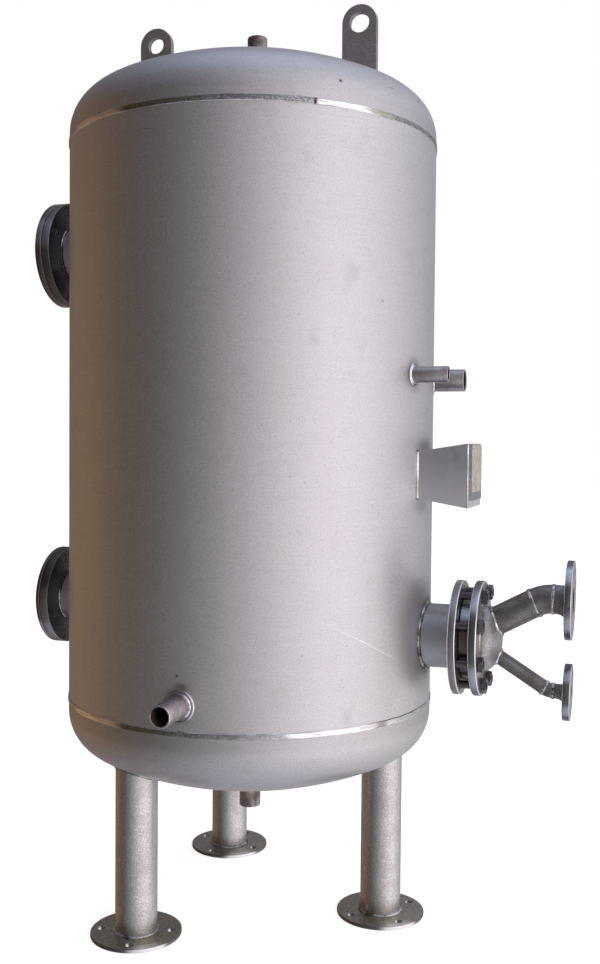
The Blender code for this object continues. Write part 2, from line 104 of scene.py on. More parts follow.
# Nozzles and heater
NECK_WALL = 0.004
NOZZLE_BOLT_CIRCLES = {"upper": 0.258, "lower": 0.236}
HEATER_BOLT_CIRCLE = 0.250
BOLT_COUNT = 8
NOZZLE_HOLE = 0.013
HEATER_HOLE = 0.0125
STUD_DEPTH = 0.001          # how far a stud's end lies within its hole
NUT_TWISTS = (10, 52, 20, 20, 8, 38, 38, 25)     # in degrees
BLANK_STUD_RADIUS = 0.0124
HEATER_SHANK_RADIUS = 0.0105
HEATER_THREAD_RADIUS = 0.0108
HEATER_NUT_BORE = 0.0100
THREAD_PAST_NUT = 0.0045
WASHER_RADII = (0.0205, 0.0115)
WASHER_HEIGHT = 0.0028
GASKET_BORE = 0.082
GASKET_HEIGHT = 0.0025
CHANNEL_BORE = 0.0795
DOME_RADIUS = 0.0855
DOME_WALL = 0.005

# Each branch: x and z where its pipe starts, slopes in degrees at the start and past its elbow,
# lengths, radii, how far its neck sweeps out below, and its bolting
BRANCHES = {
    "upper": {"start": (0.6865, 0.8144), "slope": 28.5, "run": 0.1071, "end_slope": -1.1,
              "elbow_radius": 0.0945, "radius": 0.03725, "bore": 0.03435, "neck": 0.0325,
              "spread": 0.0127, "bolt_circle": 0.160, "bolts": 8, "hole": 0.009},
    "lower": {"start": (0.6933, 0.7177), "slope": -31.8, "run": 0.1343, "end_slope": -1.4,
              "elbow_radius": 0.0444, "radius": 0.0190, "bore": 0.0164, "neck": 0.0272,
              "spread": 0.0094, "bolt_circle": 0.110, "bolts": 4, "hole": 0.009},
}

# Legs, lugs and bracket
LEG_AZIMUTHS = {"heater_side": 0.0, "back": 120.0, "front": 240.0}
LEG_WALL = 0.005
FOOT_BOLT_CIRCLE = 0.183
FOOT_HOLE = 0.0095
LUG_HOLES = {"heater_side": 0.0263, "nozzle_side": 0.0226}
BRACKET_SHEET = 0.003
BRACKET_BACK_HEIGHTS = (1.131, 1.2556)
# Height below which the nameplate's colour is a painted grey reflection of the floor
PLATE_FOOT = 1.150

# Half width and height of each weld bead
BEADS = {
    "leg": (0.0042, 0.0036),
    "foot": (0.0045, 0.0042),
    "end_socket": (0.0036, 0.0034),
    "side_socket": (0.0040, 0.0038),
    "side_socket_outer": (0.0022, 0.0020),
    "nozzle_shell": (0.0055, 0.0050),
    "nozzle_flange": (0.0045, 0.0042),
    "heater_shell": (0.0060, 0.0055),
    "heater_flange": (0.0040, 0.0036),
    "dome": (0.0034, 0.0030),
    "branch_saddle": (0.0058, 0.0044),
    "branch_seam": (0.0048, 0.0026),
    "lug": (0.0045, 0.0040),
    "bracket_side": (0.0048, 0.0036),
    "bracket_corner": (0.0028, 0.0016),
    "bracket_edge": (0.0034, 0.0028),
}

# The camera, about the vessel's axis: the photograph's place, heading, pitch, roll and focal length
CAMERA_DISTANCE = 3.0202
CAMERA_HEIGHT = 1.2627
CAMERA_AZIMUTH = -69.7
CAMERA_HEADING = 2.54
CAMERA_PITCH = -1.86
CAMERA_ROLL = 0.48
CAMERA_FOCAL_PIXELS = 1080.01
PHOTO_SIZE = (600, 964)
SENSOR = 36.0

# The studio's soft lights: azimuth and slope towards each, how wide it spreads, and its colour.
# The floor ones stand for what the pale floor throws back.
LIGHTS = {
    "window": (-21, 0, 0.62, (1.38, 1.28, 1.36)),
    "window_sky": (56, 42, 0.61, (0.37, 0.38, 0.45)),
    "zenith": (0, 88, 0.40, (0.41, 0.48, 0.66)),
    "warm_wall": (171, -7, 0.43, (0.31, 0.18, 0.08)),
    "lit_floor": (34, -30, 0.44, (0.33, 0.33, 0.31)),
    "floor_behind": (93, -36, 0.42, (0.31, 0.30, 0.31)),
    "floor_in_front": (-85, -42, 0.42, (0.19, 0.21, 0.21)),
    "floor_below": (0, -85, 0.50, (0.38, 0.37, 0.46)),
}


# Placing

def upright(x=0.0, y=0.0, z=0.0):
    return Matrix.Translation(AXIS + Vector((x, y, z)))


def aim(x, y, z, azimuth, slope=0.0):
    """A place about the vessel's axis whose +Z points along an azimuth, raised by a slope."""
    turn = Matrix.Rotation(math.radians(azimuth), 4, "Z")
    return upright(x, y, z) @ turn @ Matrix.Rotation(math.radians(90 - slope), 4, "Y")


# Turns a place in the frame of the solids into one about the vessel's axis
AXIS_FREE = Matrix.Translation(-AXIS)


def along(place, distance):
    return place @ Matrix.Translation((0, 0, distance))


def around(count, first=0.0):
    """Even angles round a whole turn."""
    return first + math.tau * np.arange(count) / count


def circle(radius, turn, height=0.0):
    """Points about +Z at those angles; radius and height may hold one value for each row."""
    parts = np.broadcast_arrays(radius * np.cos(turn), radius * np.sin(turn), height)
    return np.stack(parts, -1)


# Meshes

def mesh_of(shape, name):
    """A mesh of what was built in bmesh, which is freed."""
    mesh = bpy.data.meshes.new(name)
    shape.to_mesh(mesh)
    shape.free()
    return mesh


def smooth(mesh, sharp):
    mesh.shade_smooth()
    mesh.set_sharp_from_angle(angle=math.radians(sharp))


def grid_mesh(name, grid, wrap_rows=False, wrap_columns=True, sharp=35.0):
    """A mesh of quads from a rows by columns grid of points; a row of equal points closes an end."""
    grid = np.asarray(grid, float)
    rows, columns = grid.shape[:2]
    index = np.arange(rows * columns).reshape(rows, columns)
    down = np.roll(index, -1, 0) if wrap_rows else index[1:]
    upper = index if wrap_rows else index[:-1]
    across = np.roll(upper, -1, 1) if wrap_columns else upper[:, 1:]
    down_across = np.roll(down, -1, 1) if wrap_columns else down[:, 1:]
    last = columns if wrap_columns else columns - 1
    faces = np.stack([upper[:, :last], across, down_across, down[:, :last]], -1).reshape(-1, 4)
    mesh = bpy.data.meshes.new(name)
    mesh.from_pydata(grid.reshape(-1, 3).tolist(), [], faces.tolist())
    tidy(mesh)
    smooth(mesh, sharp)
    return mesh


def tidy(mesh):
    """Welds points that meet and turns all faces outwards."""
    distance = 0.00001
    shape = bmesh.new()
    shape.from_mesh(mesh)
    bmesh.ops.remove_doubles(shape, verts=shape.verts, dist=distance)
    bmesh.ops.dissolve_degenerate(shape, edges=shape.edges, dist=distance)
    bmesh.ops.recalc_face_normals(shape, faces=shape.faces)
    shape.to_mesh(mesh)
    shape.free()


def revolved(name, outline, sides=96, closed=True, sharp=35.0):
    """A turned mesh about +Z from (radius, height) points."""
    outline = np.asarray(outline, float)
    grid = circle(outline[:, :1], around(sides), outline[:, 1:])
    return grid_mesh(name, grid, wrap_rows=closed, sharp=sharp)


def slab(name, outline, half_thickness):
    """A flat plate of that outline, square to +Z."""
    shape = bmesh.new()
    face = shape.faces.new([shape.verts.new((x, y, -half_thickness)) for x, y in outline])
    grown = bmesh.ops.extrude_face_region(shape, geom=[face])
    raised = [item for item in grown["geom"] if isinstance(item, bmesh.types.BMVert)]
    bmesh.ops.translate(shape, vec=(0, 0, 2 * half_thickness), verts=raised)
    bmesh.ops.recalc_face_normals(shape, faces=shape.faces)
    return mesh_of(shape, name)


def joined(name, meshes, sharp=35.0):
    """One mesh from (mesh, place) pairs."""
    whole = bmesh.new()
    for mesh, place in meshes:
        copy = mesh.copy()
        copy.transform(place)
        whole.from_mesh(copy)
        bpy.data.meshes.remove(copy)
    mesh = mesh_of(whole, name)
    smooth(mesh, sharp)
    return mesh


def soften(obj, width, degrees=30):
    """Rounds an object's edges that turn by more than so many degrees."""
    edge = obj.modifiers.new("edge", "BEVEL")
    edge.width = width
    edge.segments = 2
    edge.limit_method = "ANGLE"
    edge.angle_limit = math.radians(degrees)


def drilled(mesh, holes, depth=0.2, sides=24, bevel=0.0):
    """Cuts round holes, given as (place, radius), right through a mesh, and softens its edges."""
    cutters = bmesh.new()
    for place, radius in holes:
        bmesh.ops.create_cone(cutters, cap_ends=True, segments=sides, radius1=radius,
                              radius2=radius, depth=depth, matrix=place)
    cutter_mesh = mesh_of(cutters, "drilled_cutter")
    body = bpy.data.objects.new("drilled_body", mesh)
    cutter = bpy.data.objects.new("drilled_cutter", cutter_mesh)
    for obj in (body, cutter):
        bpy.context.scene.collection.objects.link(obj)
    cut = body.modifiers.new("holes", "BOOLEAN")
    cut.solver = "EXACT"
    cut.object = cutter
    if bevel:
        soften(body, bevel, 40)
    graph = bpy.context.evaluated_depsgraph_get()
    result = bpy.data.meshes.new_from_object(body.evaluated_get(graph))
    result.name = mesh.name
    bpy.data.objects.remove(body)
    bpy.data.objects.remove(cutter)
    bpy.data.meshes.remove(cutter_mesh)
    smooth(result, 20.0)
    return result


def piece(name, mesh, place, finish_name, slot, *nodes):
    """Puts a mesh in the scene as a piece of the heater that stands for some of its nodes."""
    obj = bpy.data.objects.new(name, mesh)
    obj.matrix_world = place
    mesh.materials.clear()
    mesh.materials.append(finish(finish_name))
    bpy.context.scene.collection.objects.link(obj)
    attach(obj, "root")
    if nodes:
        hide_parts(*nodes)
    return obj


# Weld beads

BEAD_SIDES = 10
RIPPLE_STEPS = 3


def bead(name, path, outward, size, pitch=0.003, closed=True, wander=0.0):
    """A weld bead along a path of points, its crown towards outward, with crescent ripples."""
    half_width, height = BEADS[size]
    if closed:
        path = np.vstack([path, path[:1]])
        outward = np.vstack([outward, outward[:1]])
    lengths = np.concatenate([[0], np.cumsum(np.linalg.norm(np.diff(path, axis=0), axis=1))])
    count = max(4, round(lengths[-1] / pitch)) * RIPPLE_STEPS
    at = np.linspace(0, lengths[-1], count, endpoint=not closed)
    centre, up = (np.stack([np.interp(at, lengths, line[:, i]) for i in range(3)], -1)
                  for line in (path, outward))
    up /= np.linalg.norm(up, axis=1, keepdims=True)
    ahead = np.roll(centre, -1, 0) - np.roll(centre, 1, 0)
    if not closed:
        ahead[0], ahead[-1] = centre[1] - centre[0], centre[-1] - centre[-2]
    ahead /= np.linalg.norm(ahead, axis=1, keepdims=True)
    side = np.cross(ahead, up)
    phase = np.arange(count) / RIPPLE_STEPS
    slow = np.sin(at / 0.037 + 1.3) * 0.5 + np.sin(at / 0.0143) * 0.5
    grid = []
    for a in around(BEAD_SIDES):
        crescent = 0.5 + 0.5 * np.cos(math.tau * (phase - 0.45 * np.cos(a) ** 2))
        crown = height * math.sin(a) * (0.86 + 0.14 * crescent)
        flank = half_width * math.copysign(abs(math.cos(a)) ** 0.8, math.cos(a))
        flank = flank * (0.97 + 0.03 * crescent) + wander * slow
        grid.append(centre + side * flank[:, None] + up * crown[:, None])
    return grid_mesh(name, grid, wrap_rows=True, wrap_columns=closed, sharp=60.0)


def ring_bead(name, radius, size, lean=0.0, **options):
    """A bead round +Z whose crown leans from straight outwards, at 0, to straight up, at 90."""
    path = circle(radius, around(360))
    outward = path / radius * math.cos(math.radians(lean))
    outward[:, 2] = math.sin(math.radians(lean))
    return bead(name, path, outward, size, **options)


def open_bead(x, y, z, outward, size):
    """A bead with two ends, through points whose x, y or z may be one number for all."""
    path = np.stack(np.broadcast_arrays(x, y, z), -1).astype(float)
    outward = np.broadcast_to(outward, path.shape).astype(float)
    return bead("open_bead", path, outward, size, closed=False), HERE


def saddle_weld(name, radius, place, sideways, size, finish_name, extra=0.0012):
    """The bead where a pipe meets the shell, on its saddle-shaped line."""
    turn = around(240)
    rise = sideways + radius * np.sin(turn)
    depth = shell_depth(rise)
    shell_out = np.stack([np.zeros(240), rise / RADIUS, depth / RADIUS], -1)
    path = circle(radius + extra, turn, depth + 0.0005)
    mesh = bead(name, path, circle(1.0, turn) + shell_out, size)
    piece(name, mesh, place, finish_name, "vessel_steel")


# Forms of the vessel

def head_points(offset, first_radius, crown_parts=40, knuckle_parts=16):
    """(radius, height above the knuckle's foot) down a dished end's surface, pushed out by an offset."""
    crown = CROWN_RADIUS + offset
    knuckle = KNUCKLE_RADIUS + offset
    knuckle_at = RADIUS - KNUCKLE_RADIUS
    drop = math.sqrt((CROWN_RADIUS - KNUCKLE_RADIUS) ** 2 - knuckle_at**2)
    meet = math.asin(knuckle_at / (CROWN_RADIUS - KNUCKLE_RADIUS))
    crown_angles = np.linspace(math.asin(first_radius / crown), meet, crown_parts + 1)
    knuckle_angles = np.linspace(meet, math.pi / 2, knuckle_parts + 1)[1:]
    points = [(crown * math.sin(a), crown * math.cos(a) - drop) for a in crown_angles]
    return points + [(knuckle_at + knuckle * math.sin(a), knuckle * math.cos(a))
                     for a in knuckle_angles]


HEAD_TABLE = np.array(head_points(0.0, 0.0, 200, 200))


def head_rise(radius):
    return np.interp(radius, HEAD_TABLE[:, 0], HEAD_TABLE[:, 1])


def over_top(radius):
    """The top end's height at a distance from the vessel's axis."""
    return SHELL_TOP + TOP_STRAIGHT + head_rise(radius)


def under_bottom(radius):
    """The bottom end's height at a distance from the vessel's axis."""
    return SHELL_BOTTOM - BOTTOM_STRAIGHT - head_rise(radius)


def shell_depth(sideways):
    """How far from the axis the shell's surface lies, seen at a distance sideways of it."""
    return np.sqrt(RADIUS**2 - np.asarray(sideways) ** 2)


def tube(name, start, end, sides=64, rows=2):
    """A tube between two ends, each a function of angle and of wall side (0 outer, 1 inner)."""
    turn = around(sides)
    rings = []
    for side, way in ((0, 1), (1, -1)):
        first, last = start(turn, side), end(turn, side)
        rings += [first + (last - first) * t for t in np.linspace(0, 1, rows)[::way]]
    return grid_mesh(name, rings, wrap_rows=True)


def ring_at(radius, height):
    """An end for tube: a flat or shaped ring about +Z; radius has the outer and the inner one."""
    def points(turn, side):
        z = height(turn, radius[side]) if callable(height) else height
        return circle(radius[side], turn, z)
    return points


# Shader building

def wire(tree, value, socket):
    if isinstance(value, bpy.types.NodeSocket):
        tree.links.new(value, socket)
    else:
        socket.default_value = value


def add_node(tree, kind, inputs=None, **settings):
    node = tree.nodes.new(kind)
    for key, value in settings.items():
        setattr(node, key, value)
    for key, value in (inputs or {}).items():
        wire(tree, value, node.inputs[key])
    return node


def maths(tree, operation, first, second=0.0, third=0.0):
    inputs = {0: first, 1: second, 2: third}
    return add_node(tree, "ShaderNodeMath", inputs, operation=operation).outputs[0]


def times(tree, first, *others):
    for other in others:
        first = maths(tree, "MULTIPLY", first, other)
    return first


def vector_maths(tree, operation, first, second=(0.0, 0.0, 0.0)):
    """A vector, or a number where the operation gives one."""
    node = add_node(tree, "ShaderNodeVectorMath", {0: first, 1: second}, operation=operation)
    number = operation in ("DOT_PRODUCT", "DISTANCE", "LENGTH")
    return node.outputs["Value" if number else "Vector"]


def height_in(tree, vector):
    return add_node(tree, "ShaderNodeSeparateXYZ", {0: vector}).outputs[2]


def levelled(tree, vector):
    return vector_maths(tree, "MULTIPLY", vector, (1.0, 1.0, 0.0))


def remap(tree, value, low, high, to_low=0.0, to_high=1.0):
    inputs = {"Value": value, "From Min": low, "From Max": high, "To Min": to_low,
              "To Max": to_high}
    node = add_node(tree, "ShaderNodeMapRange", inputs, interpolation_type="SMOOTHSTEP")
    return node.outputs["Result"]


def soft_step(tree, value, middle_value, softness):
    low = maths(tree, "SUBTRACT", middle_value, softness)
    return remap(tree, value, low, maths(tree, "ADD", middle_value, softness))


def blend(tree, amount, first, second):
    """Mixes two colours, each a socket or an (r, g, b)."""
    node = add_node(tree, "ShaderNodeMix", data_type="RGBA")
    wire(tree, amount, node.inputs["Factor"])
    for value, socket in ((first, node.inputs[6]), (second, node.inputs[7])):
        wire(tree, value if isinstance(value, bpy.types.NodeSocket) else (*value, 1.0), socket)
    return node.outputs[2]


def shade(colour, share):
    return [min(1.0, share * c) for c in colour]


def noise(tree, position, scale, detail=2.0, roughness=0.5, distortion=0.0):
    inputs = {"Vector": position, "Scale": scale, "Detail": detail, "Roughness": roughness,
              "Distortion": distortion}
    return add_node(tree, "ShaderNodeTexNoise", inputs).outputs["Fac"]


def flattened_noise(tree, position, squash, scale):
    """Noise in level streaks, squashed along +Z."""
    inputs = {"Vector": position, "Scale": (1.0, 1.0, squash)}
    streaks = add_node(tree, "ShaderNodeMapping", inputs).outputs["Vector"]
    return noise(tree, streaks, scale, 3.0, 0.6)


def bearing(azimuth):
    return (math.cos(math.radians(azimuth)), math.sin(math.radians(azimuth)), 0.0)


# Shared effects, each a node group

def new_group(name, inputs, outputs=("Mask",)):
    """An empty group, whose inputs without a value are vectors; with its two ends' sockets."""
    tree = bpy.data.node_groups.new(name, "ShaderNodeTree")
    for socket, value in inputs.items():
        kind = "NodeSocketVector" if value is None else "NodeSocketFloat"
        made = tree.interface.new_socket(socket, in_out="INPUT", socket_type=kind)
        if value is not None:
            made.default_value = value
    for socket in outputs:
        tree.interface.new_socket(socket, in_out="OUTPUT", socket_type="NodeSocketFloat")
    given = tree.nodes.new("NodeGroupInput").outputs
    return tree, given, tree.nodes.new("NodeGroupOutput").inputs


def blasted_grain_group():
    """Fine pitting of a bead-blasted skin, as a height and as light and dark specks."""
    inputs = {"Position": None, "Scale": 420.0}
    tree, given, result = new_group("Blasted grain", inputs, ("Height", "Specks"))
    fine = noise(tree, given["Position"], given["Scale"], 3.0, 0.6)
    coarse = noise(tree, given["Position"], times(tree, given["Scale"], 0.31))
    wire(tree, maths(tree, "MULTIPLY_ADD", coarse, 0.5, fine), result["Height"])
    wire(tree, remap(tree, fine, 0.30, 0.70), result["Specks"])


def stains_group():
    """Broad cloudy marks with soft edges."""
    inputs = {"Position": None, "Scale": 4.0, "Threshold": 0.5, "Softness": 0.2}
    tree, given, result = new_group("Stains", inputs)
    cloud = noise(tree, given["Position"], given["Scale"], 5.0, 0.55, 0.4)
    wire(tree, soft_step(tree, cloud, given["Threshold"], given["Softness"]), result["Mask"])


def heat_ring_group():
    """The scorched ring that welding leaves about a centre: 1 at the weld, fading over a reach."""
    inputs = {"Position": None, "Centre": None, "Radius": 0.05, "Reach": 0.03}
    tree, given, result = new_group("Heat ring", inputs)
    away = vector_maths(tree, "DISTANCE", given["Position"], given["Centre"])
    past = maths(tree, "ABSOLUTE", maths(tree, "SUBTRACT", away, given["Radius"]))
    ragged = maths(tree, "ADD", noise(tree, given["Position"], 26.0, 3.0, 0.6), 0.5)
    share = times(tree, maths(tree, "DIVIDE", past, given["Reach"]), ragged)
    fade = maths(tree, "POWER", math.e, times(tree, share, share, -1.0))
    wire(tree, fade, result["Mask"])


def sector_group():
    """1 within a spread, in radians, of a bearing about +Z, with a soft edge."""
    inputs = {"Position": None, "Towards": None, "Spread": 0.2, "Softness": 0.03}
    tree, given, result = new_group("Sector", inputs)
    level = vector_maths(tree, "NORMALIZE", levelled(tree, given["Position"]))
    cosine = vector_maths(tree, "DOT_PRODUCT", level, given["Towards"])
    away = maths(tree, "ARCCOSINE", maths(tree, "MINIMUM", cosine, 1.0))
    outside = soft_step(tree, away, given["Spread"], given["Softness"])
    wire(tree, maths(tree, "SUBTRACT", 1.0, outside), result["Mask"])


def mark_group():
    """A small soft-edged mark about a centre, stretched by the reach along each axis."""
    inputs = {"Position": None, "Centre": None, "Reach": None}
    tree, given, result = new_group("Mark", inputs)
    away = vector_maths(tree, "SUBTRACT", given["Position"], given["Centre"])
    length = vector_maths(tree, "LENGTH", vector_maths(tree, "DIVIDE", away, given["Reach"]))
    ragged = maths(tree, "ADD", noise(tree, given["Position"], 160.0), 0.5)
    wire(tree, remap(tree, times(tree, length, ragged), 0.20, 1.15, 1.0, 0.0), result["Mask"])


def turning_marks_group():
    """Fine turning marks round +Z, as a height."""
    inputs = {"Position": None, "Pitch": 0.0012}
    tree, given, result = new_group("Turning marks", inputs, ("Height",))
    radius = vector_maths(tree, "LENGTH", levelled(tree, given["Position"]))
    reach = maths(tree, "ADD", radius, height_in(tree, given["Position"]))
    wave = maths(tree, "SINE", maths(tree, "DIVIDE", reach, given["Pitch"]))
    wobble = noise(tree, given["Position"], 300.0)
    wire(tree, maths(tree, "MULTIPLY_ADD", wave, 0.5, wobble), result["Height"])


def make_groups():
    for make in (blasted_grain_group, stains_group, heat_ring_group, sector_group, mark_group,
                 turning_marks_group):
        make()


def in_group(tree, name, **inputs):
    """The outputs of a shared effect with those inputs."""
    node = tree.nodes.new("ShaderNodeGroup")
    node.node_tree = bpy.data.node_groups[name]
    for key, value in inputs.items():
        wire(tree, value, node.inputs[key])
    return node.outputs


def grain(tree, position, scale):
    return in_group(tree, "Blasted grain", Position=position, Scale=scale)


def stains(tree, position, scale, threshold, softness):
    return in_group(tree, "Stains", Position=position, Scale=scale, Threshold=threshold,
                    Softness=softness)["Mask"]


def sector(tree, position, azimuth, half_angle, softness):
    return in_group(tree, "Sector", Position=position, Towards=bearing(azimuth),
                    Spread=math.radians(half_angle), Softness=softness)["Mask"]


def mark(tree, position, centre, reach):
    return in_group(tree, "Mark", Position=position, Centre=centre, Reach=reach)["Mask"]


# Materials

def new_material(name, metallic=1.0):
    """A new material's node tree and the piece's own coordinates in it."""
    material = bpy.data.materials.new(name)
    material.use_nodes = True
    tree = material.node_tree
    tree.nodes["Principled BSDF"].inputs["Metallic"].default_value = metallic
    return tree, tree.nodes.new("ShaderNodeTexCoord").outputs["Object"]


def own_normal(tree):
    return tree.nodes["Texture Coordinate"].outputs["Normal"]


def across_face(tree):
    """How squarely a piece's own +Z or -Z is faced: 0 on its rim, 1 on its flat faces."""
    return maths(tree, "ABSOLUTE", height_in(tree, own_normal(tree)))


def over(tree, base, mask, colour, strength=1.0):
    """The base with a colour laid over it where the mask shows, by at most a strength."""
    return blend(tree, times(tree, mask, strength), base, colour)


def finished(name, tree, colour, roughness, height, strength, distance):
    """The material, with its colour and roughness wired and its height as a bump."""
    shader = tree.nodes["Principled BSDF"].inputs
    wire(tree, colour, shader["Base Color"])
    wire(tree, roughness, shader["Roughness"])
    inputs = {"Height": height, "Strength": strength, "Distance": distance}
    wire(tree, add_node(tree, "ShaderNodeBump", inputs).outputs["Normal"], shader["Normal"])
    return bpy.data.materials[name]


# Small marks on the vessel: centre, reach along each axis, colour and strength; the large white one
# beside the heater is painted light over the shade that the heater casts on the shell
VESSEL_MARKS = (
    ((0.346, -0.355, 2.126), (0.006, 0.006, 0.005), (0.05, 0.04, 0.04), 0.9),
    ((0.480, -0.098, 2.143), (0.006, 0.006, 0.005), (0.05, 0.04, 0.04), 0.9),
    ((0.437, -0.222, 2.143), (0.020, 0.020, 0.0015), (0.30, 0.30, 0.33), 0.6),
    ((0.430, -0.256, 1.620), (0.006, 0.006, 0.005), (0.30, 0.30, 0.31), 0.6),
    ((0.281, -0.413, 0.770), (0.005, 0.005, 0.004), (0.30, 0.29, 0.29), 0.5),
    ((-0.002, -0.500, 0.718), (0.005, 0.005, 0.005), (0.12, 0.08, 0.08), 0.8),
    ((0.150, -0.452, 2.125), (0.030, 0.010, 0.0015), (0.30, 0.30, 0.33), 0.5),
    ((0.250, -0.400, 2.118), (0.030, 0.014, 0.0015), (0.30, 0.30, 0.33), 0.5),
    ((0.495, -0.045, 1.262), (0.050, 0.072, 0.036), (0.22, 0.21, 0.21), 0.62),
    ((0.495, -0.070, 1.112), (0.050, 0.055, 0.030), (0.24, 0.23, 0.23), 0.32),
    # Painted light: brightens the shell beside the heater, where the heater shades it
    ((0.468, -0.135, 0.780), (0.075, 0.120, 0.220), (1.0, 0.99, 1.0), 0.60),
    ((0.010, -0.500, 0.692), (0.022, 0.010, 0.012), (0.14, 0.13, 0.12), 0.55),
)

# One long scratch on the shell, from end to end
VESSEL_SCRATCH = ((0.320, -0.384, 0.846), (0.489, -0.104, 0.686))

# Scorched rings: the node whose weld left each, its bearing, its distance out from the axis (None
# on the shell's surface) and sideways, then the ring's radius, reach and strength
HEAT_RINGS = (
    ("heater_neck", 0, 0.49, 0.0, 0.088, 0.020, 0.85),
    ("sensor_socket_small", 0, None, -0.127, 0.022, 0.020, 0.55),
    ("sensor_socket_large", 0, None, 0.127, 0.032, 0.022, 0.55),
    ("upper_nozzle_neck", 180, 0.49, 0.0, 0.088, 0.028, 0.6),
    ("lower_nozzle_neck", 180, 0.49, 0.0, 0.074, 0.026, 0.6),
    ("front_socket", 270, None, 0.0, 0.030, 0.016, 0.35),
)


def scratch_mask(tree, position):
    """The scratch: where the plane through its ends that faces the vessel's axis cuts the shell."""
    start, end = (Vector(point) for point in VESSEL_SCRATCH)
    halfway = (start + end) / 2
    across = (end - start).cross(Vector((halfway.x, halfway.y, 0.0))).normalized()
    level = vector_maths(tree, "DOT_PRODUCT", position, across)
    off = maths(tree, "ABSOLUTE", maths(tree, "SUBTRACT", level, start.dot(across)))
    near = mark(tree, position, halfway, (0.19, 0.23, 0.14))
    return times(tree, remap(tree, off, 0.0004, 0.0010, 0.85, 0.0), near)


def scorch_mask(tree, position):
    scorch = 0.0
    for node, azimuth, away, sideways, radius, reach, strength in HEAT_RINGS:
        spot = Matrix.Rotation(math.radians(azimuth), 3, "Z") @ Vector(
            (away or shell_depth(sideways), sideways, 0.0))
        spot.z = middle(node).z
        ring = in_group(tree, "Heat ring", Position=position, Centre=spot, Radius=radius,
                        Reach=reach)["Mask"]
        scorch = maths(tree, "MAXIMUM", times(tree, ring, strength), scorch)
    return scorch


def vessel_material(name):
    """Bead-blasted stainless: satin, finely speckled, stained, scorched and lightly marked, with painted
    light beside the heater.
    """
    settings = bpy.context.scene.heater_vessel
    tree, position = new_material(name)
    skin = grain(tree, position, 380.0)
    smears = stains(tree, position, 11.0, 0.66, 0.10)
    base = blend(tree, skin["Specks"], shade(settings.steel, 0.86), shade(settings.steel, 1.12))
    base = over(tree, base, stains(tree, position, 3.2, 0.5, 0.22), (0.50, 0.47, 0.44), 0.10)
    base = over(tree, base, smears, (0.36, 0.33, 0.31), 0.16)
    base = over(tree, base, scorch_mask(tree, position), (0.15, 0.125, 0.14))
    level = height_in(tree, position)
    for weld, past in ((SHELL_TOP, SHELL_TOP + 0.055), (SHELL_BOTTOM, SHELL_BOTTOM - 0.055)):
        dull = times(tree, remap(tree, level, (weld + past) / 2, past, 0.12, 0.0),
                     remap(tree, level, weld, (4 * weld + past) / 5))
        base = over(tree, base, dull, (0.05, 0.05, 0.05))
    brushed = remap(tree, flattened_noise(tree, position, 45.0, 8.0), 0.35, 0.75, 0.0, 0.16)
    base = over(tree, base, brushed, (0.42, 0.42, 0.42))
    soot = remap(tree, noise(tree, position, 210.0, 2.0, 0.7), 0.66, 0.74, 0.0, 0.60)
    base = over(tree, base, soot, (0.10, 0.09, 0.09))
    base = over(tree, base, scratch_mask(tree, position), (1.0, 1.0, 1.0))
    for centre, reach, colour, strength in VESSEL_MARKS:
        base = over(tree, base, mark(tree, position, centre, reach), colour, strength)
    rough = maths(tree, "MULTIPLY_ADD", skin["Specks"], 0.08, settings.roughness - 0.04)
    rough = maths(tree, "MULTIPLY_ADD", smears, 0.05, rough)
    return finished(name, tree, base, rough, skin["Height"], 0.22, 0.0006)


def weld_material(name, light, dark, roughness, scale=14.0, shift=0.0, lit=None,
                  dull=(0.12, 0.10, 0.10)):
    """Bright, rippled weld metal with straw, green and blue-grey patches of heat colour.

    lit holds the bearing and half angle of a painted highlight, the part left bright; the rest takes the
    dull colour as painted shade.
    """
    tree, position = new_material(name)
    patch = maths(tree, "SUBTRACT", noise(tree, position, scale, 4.0, 0.6), shift)
    fine = noise(tree, position, 90.0, 3.0, 0.6)
    tint = add_node(tree, "ShaderNodeValToRGB", {"Fac": patch})
    tint.color_ramp.elements[0].position = 0.34
    tint.color_ramp.elements[0].color = (*dark, 1.0)
    tint.color_ramp.elements[1].position = 0.60
    tint.color_ramp.elements[1].color = (*light, 1.0)
    for place, colour in ((0.42, (0.42, 0.45, 0.36)), (0.50, (0.55, 0.58, 0.64))):
        tint.color_ramp.elements.new(place).color = (*colour, 1.0)
    grit = remap(tree, fine, 0.35, 0.75, 0.0, 0.45)
    base = over(tree, tint.outputs["Color"], grit, shade(light, 0.45))
    # Painted highlight within the lit sector, painted shade in the dull colour outside it
    if lit:
        base = blend(tree, sector(tree, position, *lit, 0.15), dull, base)
    rough = remap(tree, fine, 0.2, 0.8, roughness, roughness + 0.22)
    return finished(name, tree, base, rough, fine, 0.35, 0.0012)


